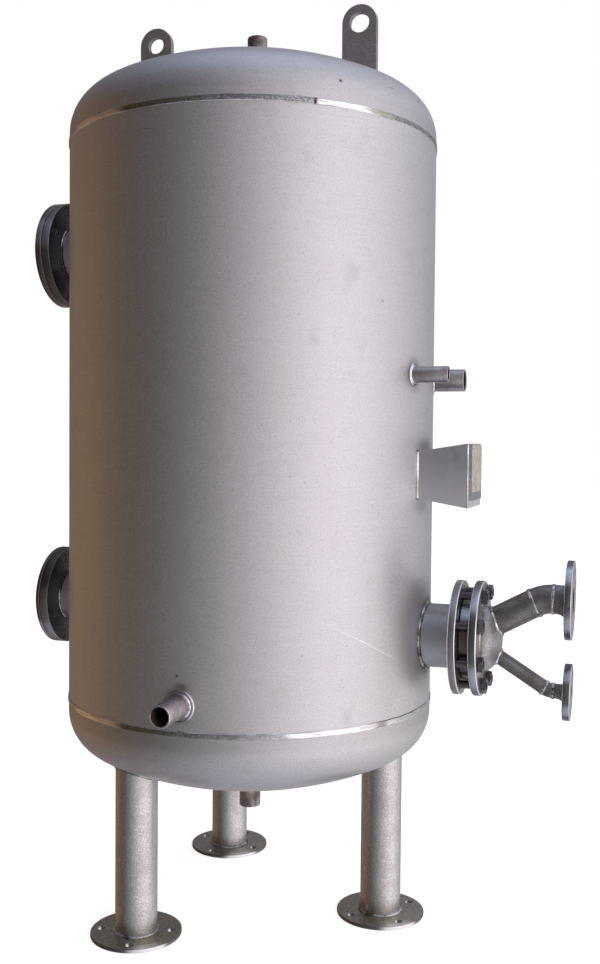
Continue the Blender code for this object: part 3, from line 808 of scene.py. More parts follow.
def girth_weld_material(name, tarnish_and_reflections):
    """Polished weld strip: nearly a mirror, in long patches of bright and tarnished metal, with painted
    dark reflections.

    tarnish_and_reflections holds the azimuth, half angle, strength and colour of each dull stretch:
    tarnished on the back, and a painted dark reflection of the surroundings on the front.
    """
    tree, position = new_material(name)
    patch = flattened_noise(tree, position, 9.0, 9.0)
    fine = noise(tree, position, 190.0, 3.0, 0.65)
    base = blend(tree, remap(tree, patch, 0.40, 0.56), (0.56, 0.54, 0.51), (0.93, 0.92, 0.94))
    off_middle = maths(tree, "ABSOLUTE", height_in(tree, position))
    edge = remap(tree, off_middle, 0.0054, 0.0064, 1.0, 0.35)
    mottle = remap(tree, fine, 0.30, 0.62, 0.55, 1.0)
    dulled = 0.0
    for azimuth, half_angle, strength, colour in tarnish_and_reflections:
        amount = sector(tree, position, azimuth, half_angle, min(0.03, 0.01 * half_angle))
        amount = times(tree, amount, strength, mottle, edge if half_angle > 1 else 1.0)
        base = over(tree, base, amount, colour)
        dulled = maths(tree, "MAXIMUM", amount, dulled)
    rough = remap(tree, patch, 0.40, 0.60, 0.22, 0.09)
    rough = maths(tree, "MULTIPLY_ADD", dulled, 0.16, rough)
    height = times(tree, fine, maths(tree, "MULTIPLY_ADD", dulled, 0.9, 0.1))
    return finished(name, tree, base, rough, height, 0.6, 0.0012)


def flange_material(name, colour, roughness, shine=(), face=None, smear=0.45, scale=16.0,
                    edge=0.0):
    """Machined steel: turning marks, darker smears, small bright nicks.

    shine holds (bearing, half angle, strength, colour) of stretches of the rim: painted highlights and
    reflections of the sky, and darker stretches; face the colour of the flat faces; and edge how
    bright the broken edges are, as polished edges with a painted highlight.
    """
    tree, position = new_material(name)
    turning = in_group(tree, "Turning marks", Position=position, Pitch=0.00035)["Height"]
    smears = stains(tree, position, scale, 0.55, 0.16)
    base = blend(tree, times(tree, smears, smear), colour, shade(colour, 0.40))
    base = over(tree, base, grain(tree, position, 260.0)["Specks"], shade(colour, 1.35), 0.22)
    flat = across_face(tree)
    rim = remap(tree, flat, 0.4, 0.8, 1.0, 0.0)
    # Painted highlights and sky reflections on the rim, and darker stretches, each in a sector of it
    for towards, half_angle, strength, tone in shine:
        lit = times(tree, sector(tree, position, towards, half_angle, 0.12), rim)
        base = over(tree, base, lit, tone, strength)
    if face:
        pits = remap(tree, noise(tree, position, 240.0, 3.0, 0.7), 0.40, 0.60, 0.35, 1.0)
        worn = blend(tree, pits, shade(face, 0.3), face)
        base = over(tree, base, remap(tree, flat, 0.85, 0.95), worn)
    if edge:
        # Broken edges brightened, as polished edges and as a painted highlight
        broken = times(tree, remap(tree, flat, 0.3, 0.5), remap(tree, flat, 0.85, 0.95, 1.0, 0.0))
        base = over(tree, base, broken, (0.95, 0.95, 0.93), edge)
    rough = maths(tree, "MULTIPLY_ADD", smears, 0.14, roughness)
    return finished(name, tree, base, rough, turning, 0.12, 0.0004)


def foot_plate_material(name, glint, **options):
    """A flange's steel with painted light on the walls of its holes, bright facing one way and
    shaded facing the others, and a painted glint over the edge of its face.

    glint holds the bearing and half angle of the glint.
    """
    material = flange_material(name, **options)
    tree = material.node_tree
    shader = tree.nodes["Principled BSDF"].inputs
    base = shader["Base Color"].links[0].from_socket
    position = tree.nodes["Texture Coordinate"].outputs["Object"]
    flat = across_face(tree)
    away = vector_maths(tree, "LENGTH", levelled(tree, position))
    square = vector_maths(tree, "DOT_PRODUCT", own_normal(tree), bearing(-5))
    # Painted highlight on the hole walls that face one bearing, painted shade on the others
    wall = blend(tree, remap(tree, square, 0.55, 0.80), (0.20, 0.19, 0.17), (0.98, 0.98, 0.96))
    within = times(tree, remap(tree, away, 0.110, 0.111, 1.0, 0.0),
                   remap(tree, flat, 0.3, 0.6, 1.0, 0.0))
    base = over(tree, base, within, wall)
    # Painted glint over the edge of the face
    lit = times(tree, sector(tree, position, *glint, 0.14), remap(tree, flat, 0.85, 0.95),
                remap(tree, away, 0.085, 0.115, 0.0, 0.9))
    wire(tree, over(tree, base, lit, (0.98, 0.98, 0.93)), shader["Base Color"])
    return material


def pipe_material(name, colour, roughness, mottle=0.35, stain=(0.20, 0.14, 0.09), grit=1.0):
    """Dull pipe steel: grey with brown mottling and specks."""
    tree, position = new_material(name)
    skin = grain(tree, position, 300.0)
    mottling = stains(tree, position, 24.0, 0.52, 0.15)
    base = blend(tree, skin["Specks"], shade(colour, 1 - 0.30 * grit),
                 shade(colour, 1 + 0.28 * grit))
    base = over(tree, base, mottling, stain, mottle)
    rough = maths(tree, "MULTIPLY_ADD", mottling, 0.10, roughness)
    return finished(name, tree, base, rough, skin["Height"], 0.30 * grit, 0.0008)


def sheet_material(name, colour, roughness, lift=None):
    """Smooth satin sheet with faint dark smudges.

    lift holds two levels and the colour that it turns towards from the first to the second.
    """
    tree, position = new_material(name)
    fine = noise(tree, position, 700.0)
    smudges = stains(tree, position, 26.0, 0.60, 0.10)
    base = blend(tree, times(tree, smudges, 0.30), colour, shade(colour, 0.55))
    if lift:
        start, end, tone = lift
        base = over(tree, base, remap(tree, height_in(tree, position), start, end), tone)
    rough = maths(tree, "MULTIPLY_ADD", fine, 0.06, roughness)
    return finished(name, tree, base, rough, fine, 0.05, 0.0002)


def nameplate_material(name):
    """A bare plate: warm and creamy, with a painted grey reflection of the floor along its foot and a
    painted shadow line on its cut edges.
    """
    tree, position = new_material(name)
    fine = noise(tree, position, 420.0)
    blotch = remap(tree, noise(tree, position, 60.0, 3.0, 0.6), 0.38, 0.62)
    cream = blend(tree, blotch, (0.74, 0.66, 0.48), (0.98, 0.95, 0.82))
    foot = PLATE_FOOT - middle("nameplate").z
    up = add_node(tree, "ShaderNodeSeparateXYZ", {0: position}).outputs[1]
    above = remap(tree, up, foot - 0.002, foot + 0.002)
    # Painted grey reflection of the floor below the foot, cream above
    base = blend(tree, above, (0.42, 0.41, 0.46), cream)
    base = over(tree, base, remap(tree, fine, 0.55, 0.75, 0.0, 0.35), (0.30, 0.27, 0.20))
    # Painted shadow line on the cut edges
    base = blend(tree, remap(tree, across_face(tree), 0.3, 0.8), (0.46, 0.43, 0.37), base)
    rough = maths(tree, "MULTIPLY_ADD", fine, 0.12, 0.34)
    return finished(name, tree, base, rough, fine, 0.10, 0.0004)


def gasket_material(name):
    tree, position = new_material(name, metallic=0.0)
    fibre = noise(tree, position, 180.0, 3.0, 0.6)
    base = blend(tree, fibre, (0.012, 0.011, 0.010), (0.045, 0.038, 0.032))
    return finished(name, tree, base, 0.85, fibre, 0.4, 0.0008)


# Dull stretches of the girth welds, tarnished on the back and painted dark reflections on the front:
# azimuth, half angle, strength and colour
BACK_TARNISH = (
    (60, 40, 0.50, (0.34, 0.32, 0.27)),
    (150, 25, 0.60, (0.30, 0.28, 0.24)),
)
WELD_TARNISH_AND_REFLECTIONS = {
    "Girth weld top": BACK_TARNISH + (
        # Painted dark reflections of the surroundings, on the front of the top weld
        (-95.4, 13.4, 0.92, (0.17, 0.16, 0.12)),
        (-67.6, 14.4, 0.92, (0.13, 0.145, 0.16)),
        (-53.3, 0.5, 1.00, (0.02, 0.02, 0.02)),
        (-31, 5, 0.80, (0.30, 0.33, 0.22)),
        (-9, 18, 0.90, (0.13, 0.145, 0.14)),
    ),
    "Girth weld bottom": BACK_TARNISH + (
        # Painted dark reflections of the surroundings, on the front of the bottom weld
        (-99.2, 9.6, 0.92, (0.17, 0.16, 0.12)),
        (-81, 8.6, 0.88, (0.17, 0.175, 0.17)),
        (-66, 6.4, 0.70, (0.22, 0.23, 0.24)),
        (-29.5, 1.8, 0.70, (0.20, 0.17, 0.22)),
        (-16, 10, 0.45, (0.28, 0.31, 0.27)),
    ),
}

# Colours that more than one finish uses; the sky colours are those of painted reflections of the sky
BRIGHT = (0.98, 0.98, 1.0)
WHITE = (1.0, 1.0, 1.0)
SKY = (0.72, 0.78, 0.90)
PALE_SKY = (0.75, 0.80, 0.88)
# Painted dark reflection, for the middle of a rim between painted sky reflections
DARK_REFLECTION = (0.13, 0.14, 0.13)
LILAC_SHINE = 0.85, (0.50, 0.48, 0.52)
BROWN = (0.10, 0.085, 0.07)
HEATER_FACE = (0.62, 0.60, 0.52)
# Weld settings; a weld's dull colour is painted shade outside its lit sector, which is a painted
# highlight
SIDE_WELD = dict(light=BRIGHT, dark=(0.35, 0.33, 0.32), roughness=0.12, scale=60.0, shift=-0.15,
                 dull=(0.42, 0.40, 0.40))
NOZZLE_WELD = dict(light=BRIGHT, dark=(0.30, 0.28, 0.28), roughness=0.14, scale=50.0)
NOZZLE_FLANGE = dict(colour=(0.20, 0.185, 0.17), roughness=0.30, face=(0.19, 0.20, 0.185),
                     edge=0.20)
NOZZLE_BLANK = dict(colour=(0.17, 0.135, 0.12), roughness=0.32, face=(0.24, 0.24, 0.23), edge=0.20)

# Each finish: the function that makes it and its values. A colour in words is one of the
# settings, taken by a share where one is given.
FINISHES = {
    "Blasted vessel steel": (vessel_material, {}),
    "Nameplate steel": (nameplate_material, {}),
    "Fibre gasket": (gasket_material, {}),
    "Leg pipe steel": (pipe_material, dict(colour="leg", roughness=0.31, mottle=0.14, grit=0.9)),
    "Mottled socket steel": (pipe_material, dict(
        colour=(0.42, 0.38, 0.36), roughness=0.32, mottle=0.75, stain=(0.09, 0.07, 0.055))),
    "Sensor socket steel": (pipe_material, dict(
        colour=(0.44, 0.415, 0.41), roughness=0.28, mottle=0.45, stain=(0.15, 0.12, 0.11),
        grit=0.7)),
    "Front socket steel": (pipe_material, dict(
        colour=(0.60, 0.545, 0.55), roughness=0.32, mottle=0.50, stain=(0.20, 0.16, 0.155))),
    "Dark bore": (pipe_material, dict(colour=(0.06, 0.05, 0.045), roughness=0.6)),
    "Dark stud steel": (pipe_material, dict(colour=(0.16, 0.15, 0.14), roughness=0.35)),
    "Dome steel": (pipe_material, dict(
        colour=(0.47, 0.465, 0.46), roughness=0.46, mottle=0.30, stain=(0.24, 0.22, 0.19))),
    "Heater stud steel": (pipe_material, dict(
        colour=(0.17, 0.155, 0.16), roughness=0.22, mottle=0.3, stain=(0.05, 0.04, 0.04),
        grit=0.5)),
    "Heater nut steel": (pipe_material, dict(
        colour=(0.24, 0.235, 0.245), roughness=0.17, mottle=0.5, stain=(0.12, 0.09, 0.08),
        grit=0.6)),
    "Branch pipe steel": (pipe_material, dict(
        colour="pipe", roughness=0.44, mottle=0.50, stain=(0.15, 0.11, 0.08), grit=0.8)),
    "Lug steel": (pipe_material, dict(colour=(0.47, 0.455, 0.475), roughness=0.40, grit=0.7)),
    "Bolt steel": (pipe_material, dict(colour=(0.42, 0.40, 0.38), roughness=0.35)),
    "Neck steel": (sheet_material, dict(colour=(0.45, 0.465, 0.495), roughness=0.34)),
    "Bracket steel": (sheet_material, dict(
        colour=(0.60, 0.59, 0.61), roughness=0.36, lift=(1.26, 1.10, (0.92, 0.91, 0.93)))),
    # Its shine sector on the rim and its glint on the face are painted highlights
    "Foot plate steel": (foot_plate_material, dict(
        colour=(0.21, 0.19, 0.18), roughness=0.40, shine=((-50, 24, 0.9, (0.95, 0.94, 0.95)),),
        face=(0.58, 0.54, 0.45), glint=(-50, 18))),
    # Flange finishes: shine sectors in sky, lilac and near-white colours are painted highlights and
    # reflections; the dark grey one on the heater flange is a painted dark reflection
    "Upper nozzle flange steel": (flange_material, dict(
        NOZZLE_FLANGE, shine=((108, 15, *LILAC_SHINE), (40, 40, 0.75, BROWN)))),
    "Upper blank steel": (flange_material, dict(NOZZLE_BLANK, shine=((108, 15, *LILAC_SHINE),))),
    "Lower nozzle flange steel": (flange_material, dict(
        NOZZLE_FLANGE, shine=((48, 15, *LILAC_SHINE), (82, 20, 0.60, (0.34, 0.33, 0.26)),
                              (150, 42, 0.85, BROWN)))),
    "Lower blank steel": (flange_material, dict(NOZZLE_BLANK, shine=((48, 15, *LILAC_SHINE),))),
    "Heater flange steel": (flange_material, dict(
        colour="flange", roughness=0.26, edge=1.0, face=HEATER_FACE,
        shine=((222, 13, 0.65, SKY), (306, 14, 0.60, SKY), (264, 24, 0.60, DARK_REFLECTION)))),
    "Heater body flange steel": (flange_material, dict(
        colour="flange", share=1.35, roughness=0.30, edge=1.0, face=HEATER_FACE,
        shine=((222, 13, 0.30, SKY), (180, 12, 0.6, (0.95, 0.9, 0.7))))),
    "Tubesheet steel": (flange_material, dict(
        colour=(0.15, 0.14, 0.11), roughness=0.26, shine=((222, 13, 0.9, (0.62, 0.68, 0.78)),))),
    "Branch flange steel": (flange_material, dict(
        colour=(0.25, 0.26, 0.27), roughness=0.22, face=(0.80, 0.75, 0.62), smear=1.0, scale=30.0,
        edge=0.8, shine=((225, 14, 0.6, PALE_SKY), (300, 12, 0.5, PALE_SKY)))),
    "Leg weld": (weld_material, dict(
        light=(0.72, 0.69, 0.70), dark=(0.10, 0.08, 0.08), roughness=0.22, scale=30.0, shift=0.06)),
    "Bright socket weld": (weld_material, dict(
        light=(0.92, 0.92, 0.94), dark=(0.20, 0.18, 0.17), roughness=0.16)),
    # Each lit sector is a painted highlight; the rest of that weld takes its dull colour as painted
    # shade
    "Sensor socket weld": (weld_material, dict(SIDE_WELD, lit=(262, 74))),
    "Front socket weld": (weld_material, dict(SIDE_WELD, lit=(95, 55))),
    "Upper nozzle weld": (weld_material, dict(NOZZLE_WELD, lit=(120, 18))),
    "Lower nozzle weld": (weld_material, dict(NOZZLE_WELD, lit=(70, 34))),
    "Heater shell weld": (weld_material, dict(
        light=(0.90, 0.90, 0.94), dark=(0.10, 0.085, 0.09), roughness=0.16, scale=34.0,
        shift=0.09)),
    "Dome weld": (weld_material, dict(
        light=WHITE, dark=(0.75, 0.74, 0.74), roughness=0.16, lit=(258, 20),
        dull=(0.30, 0.29, 0.28))),
    "Branch weld": (weld_material, dict(
        light=WHITE, dark=(0.05, 0.04, 0.045), roughness=0.10, scale=80.0, shift=0.02)),
    "Pipe weld": (weld_material, dict(
        light=(0.80, 0.80, 0.82), dark=(0.22, 0.19, 0.17), roughness=0.22)),
    "Bracket weld": (weld_material, dict(light=WHITE, dark=(0.72, 0.72, 0.74), roughness=0.18)),
}
FINISHES |= {name: (girth_weld_material, dict(tarnish_and_reflections=tarnish_and_reflections))
             for name, tarnish_and_reflections in WELD_TARNISH_AND_REFLECTIONS.items()}


def finish(name):
    """The material of that name, made the first time it is asked for."""
    if name not in bpy.data.materials:
        maker, values = FINISHES[name]
        values = dict(values)
        share, colour = values.pop("share", 1.0), values.get("colour")
        if isinstance(colour, str):
            setting = getattr(bpy.context.scene.heater_steelwork, colour)
            values["colour"] = [share * c for c in setting]
        maker(name, **values)
    return bpy.data.materials[name]


# Settings

def colour_setting(name, description, default):
    return FloatVectorProperty(name=name, description=description, default=default,
                               subtype="COLOR", min=0.0, max=1.0)


def length_setting(name, description, default, least):
    return FloatProperty(name=name, description=description, default=default, min=least,
                         unit="LENGTH")


def strength_setting(name, description, default):
    return FloatProperty(name=name, description=description, default=default, min=0.0)


class VesselSettings(bpy.types.PropertyGroup):
    """Sizes and colours of the vessel and its welds."""
    steel: colour_setting("Vessel steel", "Colour of the blasted vessel", (0.655, 0.650, 0.650))
    roughness: FloatProperty(name="Vessel roughness", description="Roughness of the blasted skin",
                             default=0.44, min=0.0, max=1.0, subtype="FACTOR")
    weld_width: length_setting("Girth weld width", "Width of the girth welds", 0.015, 0.002)
    weld_height: length_setting("Girth weld height", "How far they stand proud", 0.0022, 0.0005)


class SteelworkSettings(bpy.types.PropertyGroup):
    """Colours and sizes of the flanges, pipes and bolting."""
    flange: colour_setting("Flange steel", "Colour of the machined flanges", (0.265, 0.275, 0.27))
    pipe: colour_setting("Pipe steel", "Colour of the dull pipework", (0.31, 0.305, 0.30))
    leg: colour_setting("Leg steel", "Colour of the pipe legs", (0.60, 0.59, 0.57))
    nut_width: length_setting("Nut width", "Width across a heater nut's flats", 0.035, 0.01)
    nut_height: length_setting("Nut height", "Thickness of a heater nut", 0.013, 0.005)


class StageSettings(bpy.types.PropertyGroup):
    """Floor and light."""
    floor: colour_setting("Floor", "Colour of the pale floor", (0.80, 0.80, 0.80))
    floor_glow: strength_setting("Floor glow", "Brightness added to the floor", 0.78)
    key: strength_setting("Key light", "Strength of the broad light on the right", 1.0)
    fill: strength_setting("Fill light", "Strength of the other lights", 1.0)


# Vessel

class HEATER_OT_vessel(bpy.types.Operator):
    """Build the shell, its two dished ends and the girth welds"""
    bl_idname = "heater.vessel"
    bl_label = "Vessel"

    def execute(self, context):
        build_shell()
        build_head("top_head", TOP_STRAIGHT, TOP_SOCKET[0], middle("top_socket").x)
        build_head("bottom_head", BOTTOM_STRAIGHT, DRAIN_SOCKET[0], 0.0)
        build_girth_welds(context.scene.heater_vessel)
        return {"FINISHED"}


def build_shell():
    """The cylinder with its real wall, pierced for each neck and socket."""
    rows = np.linspace(SHELL_TOP, SHELL_BOTTOM, 40)
    outline = [(RADIUS, z) for z in rows] + [(RADIUS - WALL, z) for z in rows[::-1]]
    mesh = revolved("shell_steel", outline, 192)
    openings = [(node, azimuth, half_size(node).z, 0) for node, azimuth in (
        ("upper_nozzle_neck", 180), ("lower_nozzle_neck", 180), ("heater_neck", 0))]
    openings += [(node, 0, radius, middle(node).y) for node, radius in (
        ("sensor_socket_small", SENSOR_SMALL[0]), ("sensor_socket_large", SENSOR_LARGE[0]))]
    openings.append(("front_socket", FRONT_AZIMUTH, FRONT_SOCKET[0], 0))
    holes = [(along(AXIS_FREE @ aim(0, sideways, middle(node).z, azimuth), RADIUS), radius - 0.001)
             for node, azimuth, radius, sideways in openings]
    mesh = drilled(mesh, holes, depth=0.12, sides=48)
    round_normals(mesh)
    piece("vessel_shell", mesh, upright(), "Blasted vessel steel", "vessel_steel", "shell")


def round_normals(mesh):
    """Gives the drilled cylinder the normals of a true one, so its skin shades evenly."""
    corners = np.empty(len(mesh.loops), np.int32)
    mesh.loops.foreach_get("vertex_index", corners)
    points = np.empty(len(mesh.vertices) * 3, np.float32)
    mesh.vertices.foreach_get("co", points)
    normals = np.empty(len(mesh.corner_normals) * 3, np.float32)
    mesh.corner_normals.foreach_get("vector", normals)
    normals = normals.reshape(-1, 3)
    radial = points.reshape(-1, 3)[corners] * (1, 1, 0)
    radial /= np.linalg.norm(radial, axis=1, keepdims=True)
    facing = (normals * radial).sum(1)
    normals[facing > 0.9] = radial[facing > 0.9]
    normals[facing < -0.9] = -radial[facing < -0.9]
    mesh.normals_split_custom_set(normals.tolist())


def build_head(node, straight, hole, hole_x):
    """A dished end with its real wall, open where its socket stands.

    Its rings are centred on the hole at first, and move to the vessel's axis further out.
    """
    rim = [(RADIUS, -straight), (RADIUS - WALL, -straight)]
    inside = head_points(-WALL, hole, 20, 8)
    outline = np.array(head_points(0.0, hole) + rim + inside[::-1])
    radius, height = outline[:, :1], outline[:, 1:]
    grid = circle(radius, around(192), height)
    grid[..., 0] += hole_x * np.clip(1 - (radius - hole) / HOLE_SHIFT_REACH, 0, 1)
    away = np.hypot(grid[..., 0], grid[..., 1])
    grid[..., 2] -= np.sqrt(CROWN_RADIUS**2 - radius**2) - np.sqrt(CROWN_RADIUS**2 - away**2)
    mesh = grid_mesh(node + "_steel", grid, wrap_rows=True)
    place = Matrix.Translation((0, 0, SHELL_TOP + straight))
    if node == "bottom_head":
        place = Matrix.Translation((0, 0, SHELL_BOTTOM - straight)) @ OVER
    mesh.transform(place)
    piece("vessel_" + node, mesh, upright(), "Blasted vessel steel", "vessel_steel", node)


def build_girth_welds(settings):
    """Two flat, polished strips of weld, slightly uneven in width and height."""
    half, proud, edge = settings.weld_width / 2, settings.weld_height, 0.0014
    upper_half = [(1.08 * proud, 0.3 * half), (proud, half - edge), (0.4 * proud, half),
                  (-0.002, half)]
    outline = [(out, -up) for out, up in upper_half[::-1]] + upper_half
    turn = around(900)
    for end, height, shift in (("top", SHELL_TOP, 0.0), ("bottom", SHELL_BOTTOM, 2.1)):
        wander = 0.0004 * np.sin(17 * turn + 2 * shift) + 0.0003 * np.sin(61 * turn + shift)
        rings = [circle(RADIUS + out + 0.00012 * np.sin(23 * turn + shift + 90 * up), turn,
                        up + wander * math.copysign(1.0, up + shift)) for out, up in outline]
        name = "girth_weld_" + end
        mesh = grid_mesh(name, rings, wrap_rows=True)
        piece(name, mesh, upright(z=height), "Girth weld " + end, "vessel_steel")


# Legs

class HEATER_OT_legs(bpy.types.Operator):
    """Build the three pipe legs, their foot plates and their welds"""
    bl_idname = "heater.legs"
    bl_label = "Legs"

    def execute(self, context):
        for side, azimuth in LEG_AZIMUTHS.items():
            build_leg(side, azimuth)
            build_foot(side, azimuth)
        return {"FINISHED"}


def build_leg(side, azimuth):
    node = "leg_" + side
    centre, radius, foot = middle(node), half_size(node).x, span(node)[0].z
    ring = math.hypot(centre.x, centre.y)
    place = upright(centre.x, centre.y) @ Matrix.Rotation(math.radians(azimuth), 4, "Z")
    radii = (radius, radius - LEG_WALL)

    def top(turn, r):
        return under_bottom(np.hypot(ring + r * np.cos(turn), r * np.sin(turn)))

    leg = tube("leg_pipe", ring_at(radii, foot), ring_at(radii, top), 72, 6)
    piece("leg_pipe_" + side, leg, place, "Leg pipe steel", "pipe_steel", node)
    turn = around(240)
    seam = bead("leg_weld", ring_at(radii, top)(turn, 0), circle(1.0, turn, -0.8), "leg",
                pitch=0.0028)
    ring = ring_bead("foot_weld", radius + 0.001, "foot", lean=40)
    mesh = joined("leg_welds", [(seam, HERE), (ring, along(HERE, foot + 0.0012))], 60)
    piece("leg_welds_" + side, mesh, place, "Leg weld", "pipe_steel")


def build_foot(side, azimuth):
    node = "foot_plate_" + side
    centre, half = middle(node), half_size(node)
    disc = revolved("foot_disc", flange_outline(half.x, 0.0, -half.z, half.z), 96, closed=False)
    first = math.radians(azimuth) + math.pi / 4
    holes = [(spot, FOOT_HOLE) for spot in bolt_places(FOOT_BOLT_CIRCLE, 4, first)]
    disc = drilled(disc, holes, bevel=0.0007)
    piece("foot_disc_" + side, disc, upright(centre.x, centre.y, half.z), "Foot plate steel",
          "pipe_steel", node)


# Sockets

class HEATER_OT_sockets(bpy.types.Operator):
    """Build the threaded sockets on the shell and on both ends"""
    bl_idname = "heater.sockets"
    bl_label = "Sockets"

    def execute(self, context):
        top = upright(middle("top_socket").x)
        low, high = span("top_socket")
        build_socket("top_socket", TOP_SOCKET, low.z, high.z, top, "Mottled socket steel",
                     rim=0.003)
        low, high = span("drain_socket")
        build_socket("drain_socket", DRAIN_SOCKET, -high.z, -low.z, upright() @ OVER,
                     "Mottled socket steel")
        end_weld("top_socket", TOP_SOCKET[0], along(top, over_top(TOP_SOCKET[0])))
        end_weld("drain_socket", DRAIN_SOCKET[0],
                 upright(z=float(under_bottom(DRAIN_SOCKET[0]))) @ OVER)
        low, high = span("front_socket")
        side_socket("front_socket", FRONT_SOCKET, FRONT_AZIMUTH, 0.0, -high.y, -low.y, 0.0105)
        for node, radii in (("sensor_socket_small", SENSOR_SMALL),
                            ("sensor_socket_large", SENSOR_LARGE)):
            low, high = span(node)
            side_socket(node, radii, 0, middle(node).y, low.x, high.x, 0.0075)
        return {"FINISHED"}


def end_weld(node, radius, place):
    ring = ring_bead(node + "_ring", radius + 0.0008, "end_socket", lean=45)
    piece(node + "_weld", ring, place, "Bright socket weld", "vessel_steel")


def side_socket(node, radii, azimuth, sideways, start, end, outer_reach):
    """A socket on the shell, with its bead and the thin outer line of its heat."""
    kind = node.split("_")[0].capitalize()
    place = aim(0, sideways, middle(node).z, azimuth)
    build_socket(node, radii, start, end, place, kind + " socket steel")
    metal = kind + " socket weld"
    saddle_weld(node + "_weld", radii[0], place, sideways, "side_socket", metal)
    saddle_weld(node + "_outer_weld", radii[0], place, sideways, "side_socket_outer", metal,
                outer_reach)


def build_socket(node, radii, start, end, place, finish_name, rim=0.0016):
    """A round socket with a chamfered rim and a threaded bore, dark inside."""
    outer, bore = radii
    pitch, depth, turns = 0.0023, 0.0008, 12
    outline = [(outer - rim, end), (outer - 0.0004, end - rim * 0.8), (outer, end - rim * 1.3),
               (outer, start), (bore, start)]
    outline += threads(bore, depth, end - 0.002 - turns * pitch, pitch, turns)
    outline.append((bore + 0.0012, end))
    mesh = revolved(node + "_steel", outline, 64)
    piece(node + "_body", mesh, place, finish_name, "flange_steel", node)
    mesh.materials.append(finish("Dark bore"))
    for face in mesh.polygons:
        if face.center.xy.length < bore + 0.0010 and face.center.z < end - 0.001:
            face.material_index = 1


def threads(root, depth, start, pitch, turns):
    """A thread's zigzag of points, from its root out and back at each turn."""
    points = [(root, start)]
    for i in range(turns):
        points += [(root + depth, start + (i + 0.5) * pitch), (root, start + (i + 1) * pitch)]
    return points


# Flanges and bolts

def pipe_outline(outer, bore, start, end):
    return [(outer, end), (outer, start), (bore, start), (bore, end)]


def flange_outline(outer, bore, start, end, edge=0.0012):
    """A flange's section, its rim edges broken."""
    return [(bore, end), (outer - edge, end), (outer, end - edge), (outer, start + edge),
            (outer - edge, start), (bore, start)]


def bolt_places(across, count, first=None):
    """Places round a bolt circle of that diameter; unless told, +X lies between two of them."""
    turn = around(count, math.pi / count if first is None else first)
    return [Matrix.Translation(spot) for spot in circle(across / 2, turn)]


def build_flange(name, outer, bore, start, end, across, count, hole, place, finish_name, node,
                 edge=0.0012):
    outline = flange_outline(outer, bore, start, end, edge)
    mesh = revolved(name, outline, 120, closed=bore > 0)
    holes = [(spot, hole) for spot in bolt_places(across, count)]
    mesh = drilled(mesh, holes, depth=3.0, bevel=0.0006)
    piece(name, mesh, place, finish_name, "flange_steel", node)


def neck_pipe(name, node, start, end, place, finish_name):
    """A neck of plain pipe between two distances along its place."""
    radius = half_size(node).z
    mesh = revolved(name + "_steel", pipe_outline(radius, radius - NECK_WALL, start, end), 96)
    piece(name, mesh, place, finish_name, "vessel_steel", node)
    return radius


def threaded_rod(name, radius, start, end, pitch=0.0025):
    """A rod with rings of thread and a plain end at each side."""
    depth = pitch * 0.5
    root = radius - depth
    turns = int((end - start - 2 * pitch) / pitch)
    outline = [(0, start), (root, start)]
    outline += threads(root, depth, start + pitch, pitch, turns) + [(root, end), (0, end)]
    return revolved(name, outline[::-1], 20, closed=False, sharp=20.0)


def hex_nut(name, width, height, bore):
    """A hexagonal nut on its seat, with chamfered corners."""
    turn = around(36)
    flat, sixth = width / 2, math.tau / 6
    corner = flat / np.cos((turn + sixth / 2) % sixth - sixth / 2)
    face = flat * 0.95
    drop = (corner - face) * math.tan(math.radians(30))
    rings = [circle(radius, turn, level) for radius, level in (
        (bore, 0), (face, 0), (corner, drop), (corner, height - drop), (face, height),
        (bore, height))]
    return grid_mesh(name, rings, wrap_rows=True, sharp=25.0)


# Nozzles

class HEATER_OT_nozzles(bpy.types.Operator):
    """Build the two blanked nozzles with their bolts"""
    bl_idname = "heater.nozzles"
    bl_label = "Blanked nozzles"

    def execute(self, context):
        for side, across in NOZZLE_BOLT_CIRCLES.items():
            build_nozzle(side, across)
        return {"FINISHED"}


def build_nozzle(side, across):
    nozzle, kind = side + "_nozzle", side.capitalize()
    place = aim(0, 0, middle(nozzle + "_neck").z, 180)
    low, high = span(nozzle + "_neck")
    neck = neck_pipe(nozzle + "_pipe", nozzle + "_neck", -high.x, -low.x, place,
                     "Blasted vessel steel")
    weld = kind + " nozzle weld"
    saddle_weld(nozzle + "_shell_weld", neck, place, 0, "nozzle_shell", weld)
    outer = half_size(nozzle + "_flange").z
    low, high = span(nozzle + "_flange")
    back = -high.x
    build_flange(nozzle + "_ring", outer, neck + 0.0002, back, -low.x, across, BOLT_COUNT,
                 NOZZLE_HOLE, place, kind + " nozzle flange steel", nozzle + "_flange")
    ring = ring_bead(nozzle + "_fillet", neck + 0.001, "nozzle_flange", lean=-45)
    piece(nozzle + "_flange_weld", ring, along(place, back), weld, "flange_steel")
    low, high = span(side + "_blanking_plate")
    build_flange(side + "_blank", outer, 0.0, -high.x + 0.0012, -low.x, across, BOLT_COUNT,
                 NOZZLE_HOLE, place, kind + " blank steel", side + "_blanking_plate")
    stud = threaded_rod("blank_stud", BLANK_STUD_RADIUS, back + STUD_DEPTH, -low.x - STUD_DEPTH)
    studs = [(stud, spot) for spot in bolt_places(across, BOLT_COUNT)]
    piece(nozzle + "_studs", joined(side + "_studs", studs), place, "Dark stud steel",
          "flange_steel")


# Heater

class HEATER_OT_heater(bpy.types.Operator):
    """Build the heater's neck, flanges, tubesheet, channel dome and studs"""
    bl_idname = "heater.heater"
    bl_label = "Heater"

    def execute(self, context):
        place = aim(0, 0, middle("heater_neck").z, 0)
        build_heater_body(place)
        build_tubesheet(place)
        build_dome(place)
        build_studs(place, context.scene.heater_steelwork)
        return {"FINISHED"}


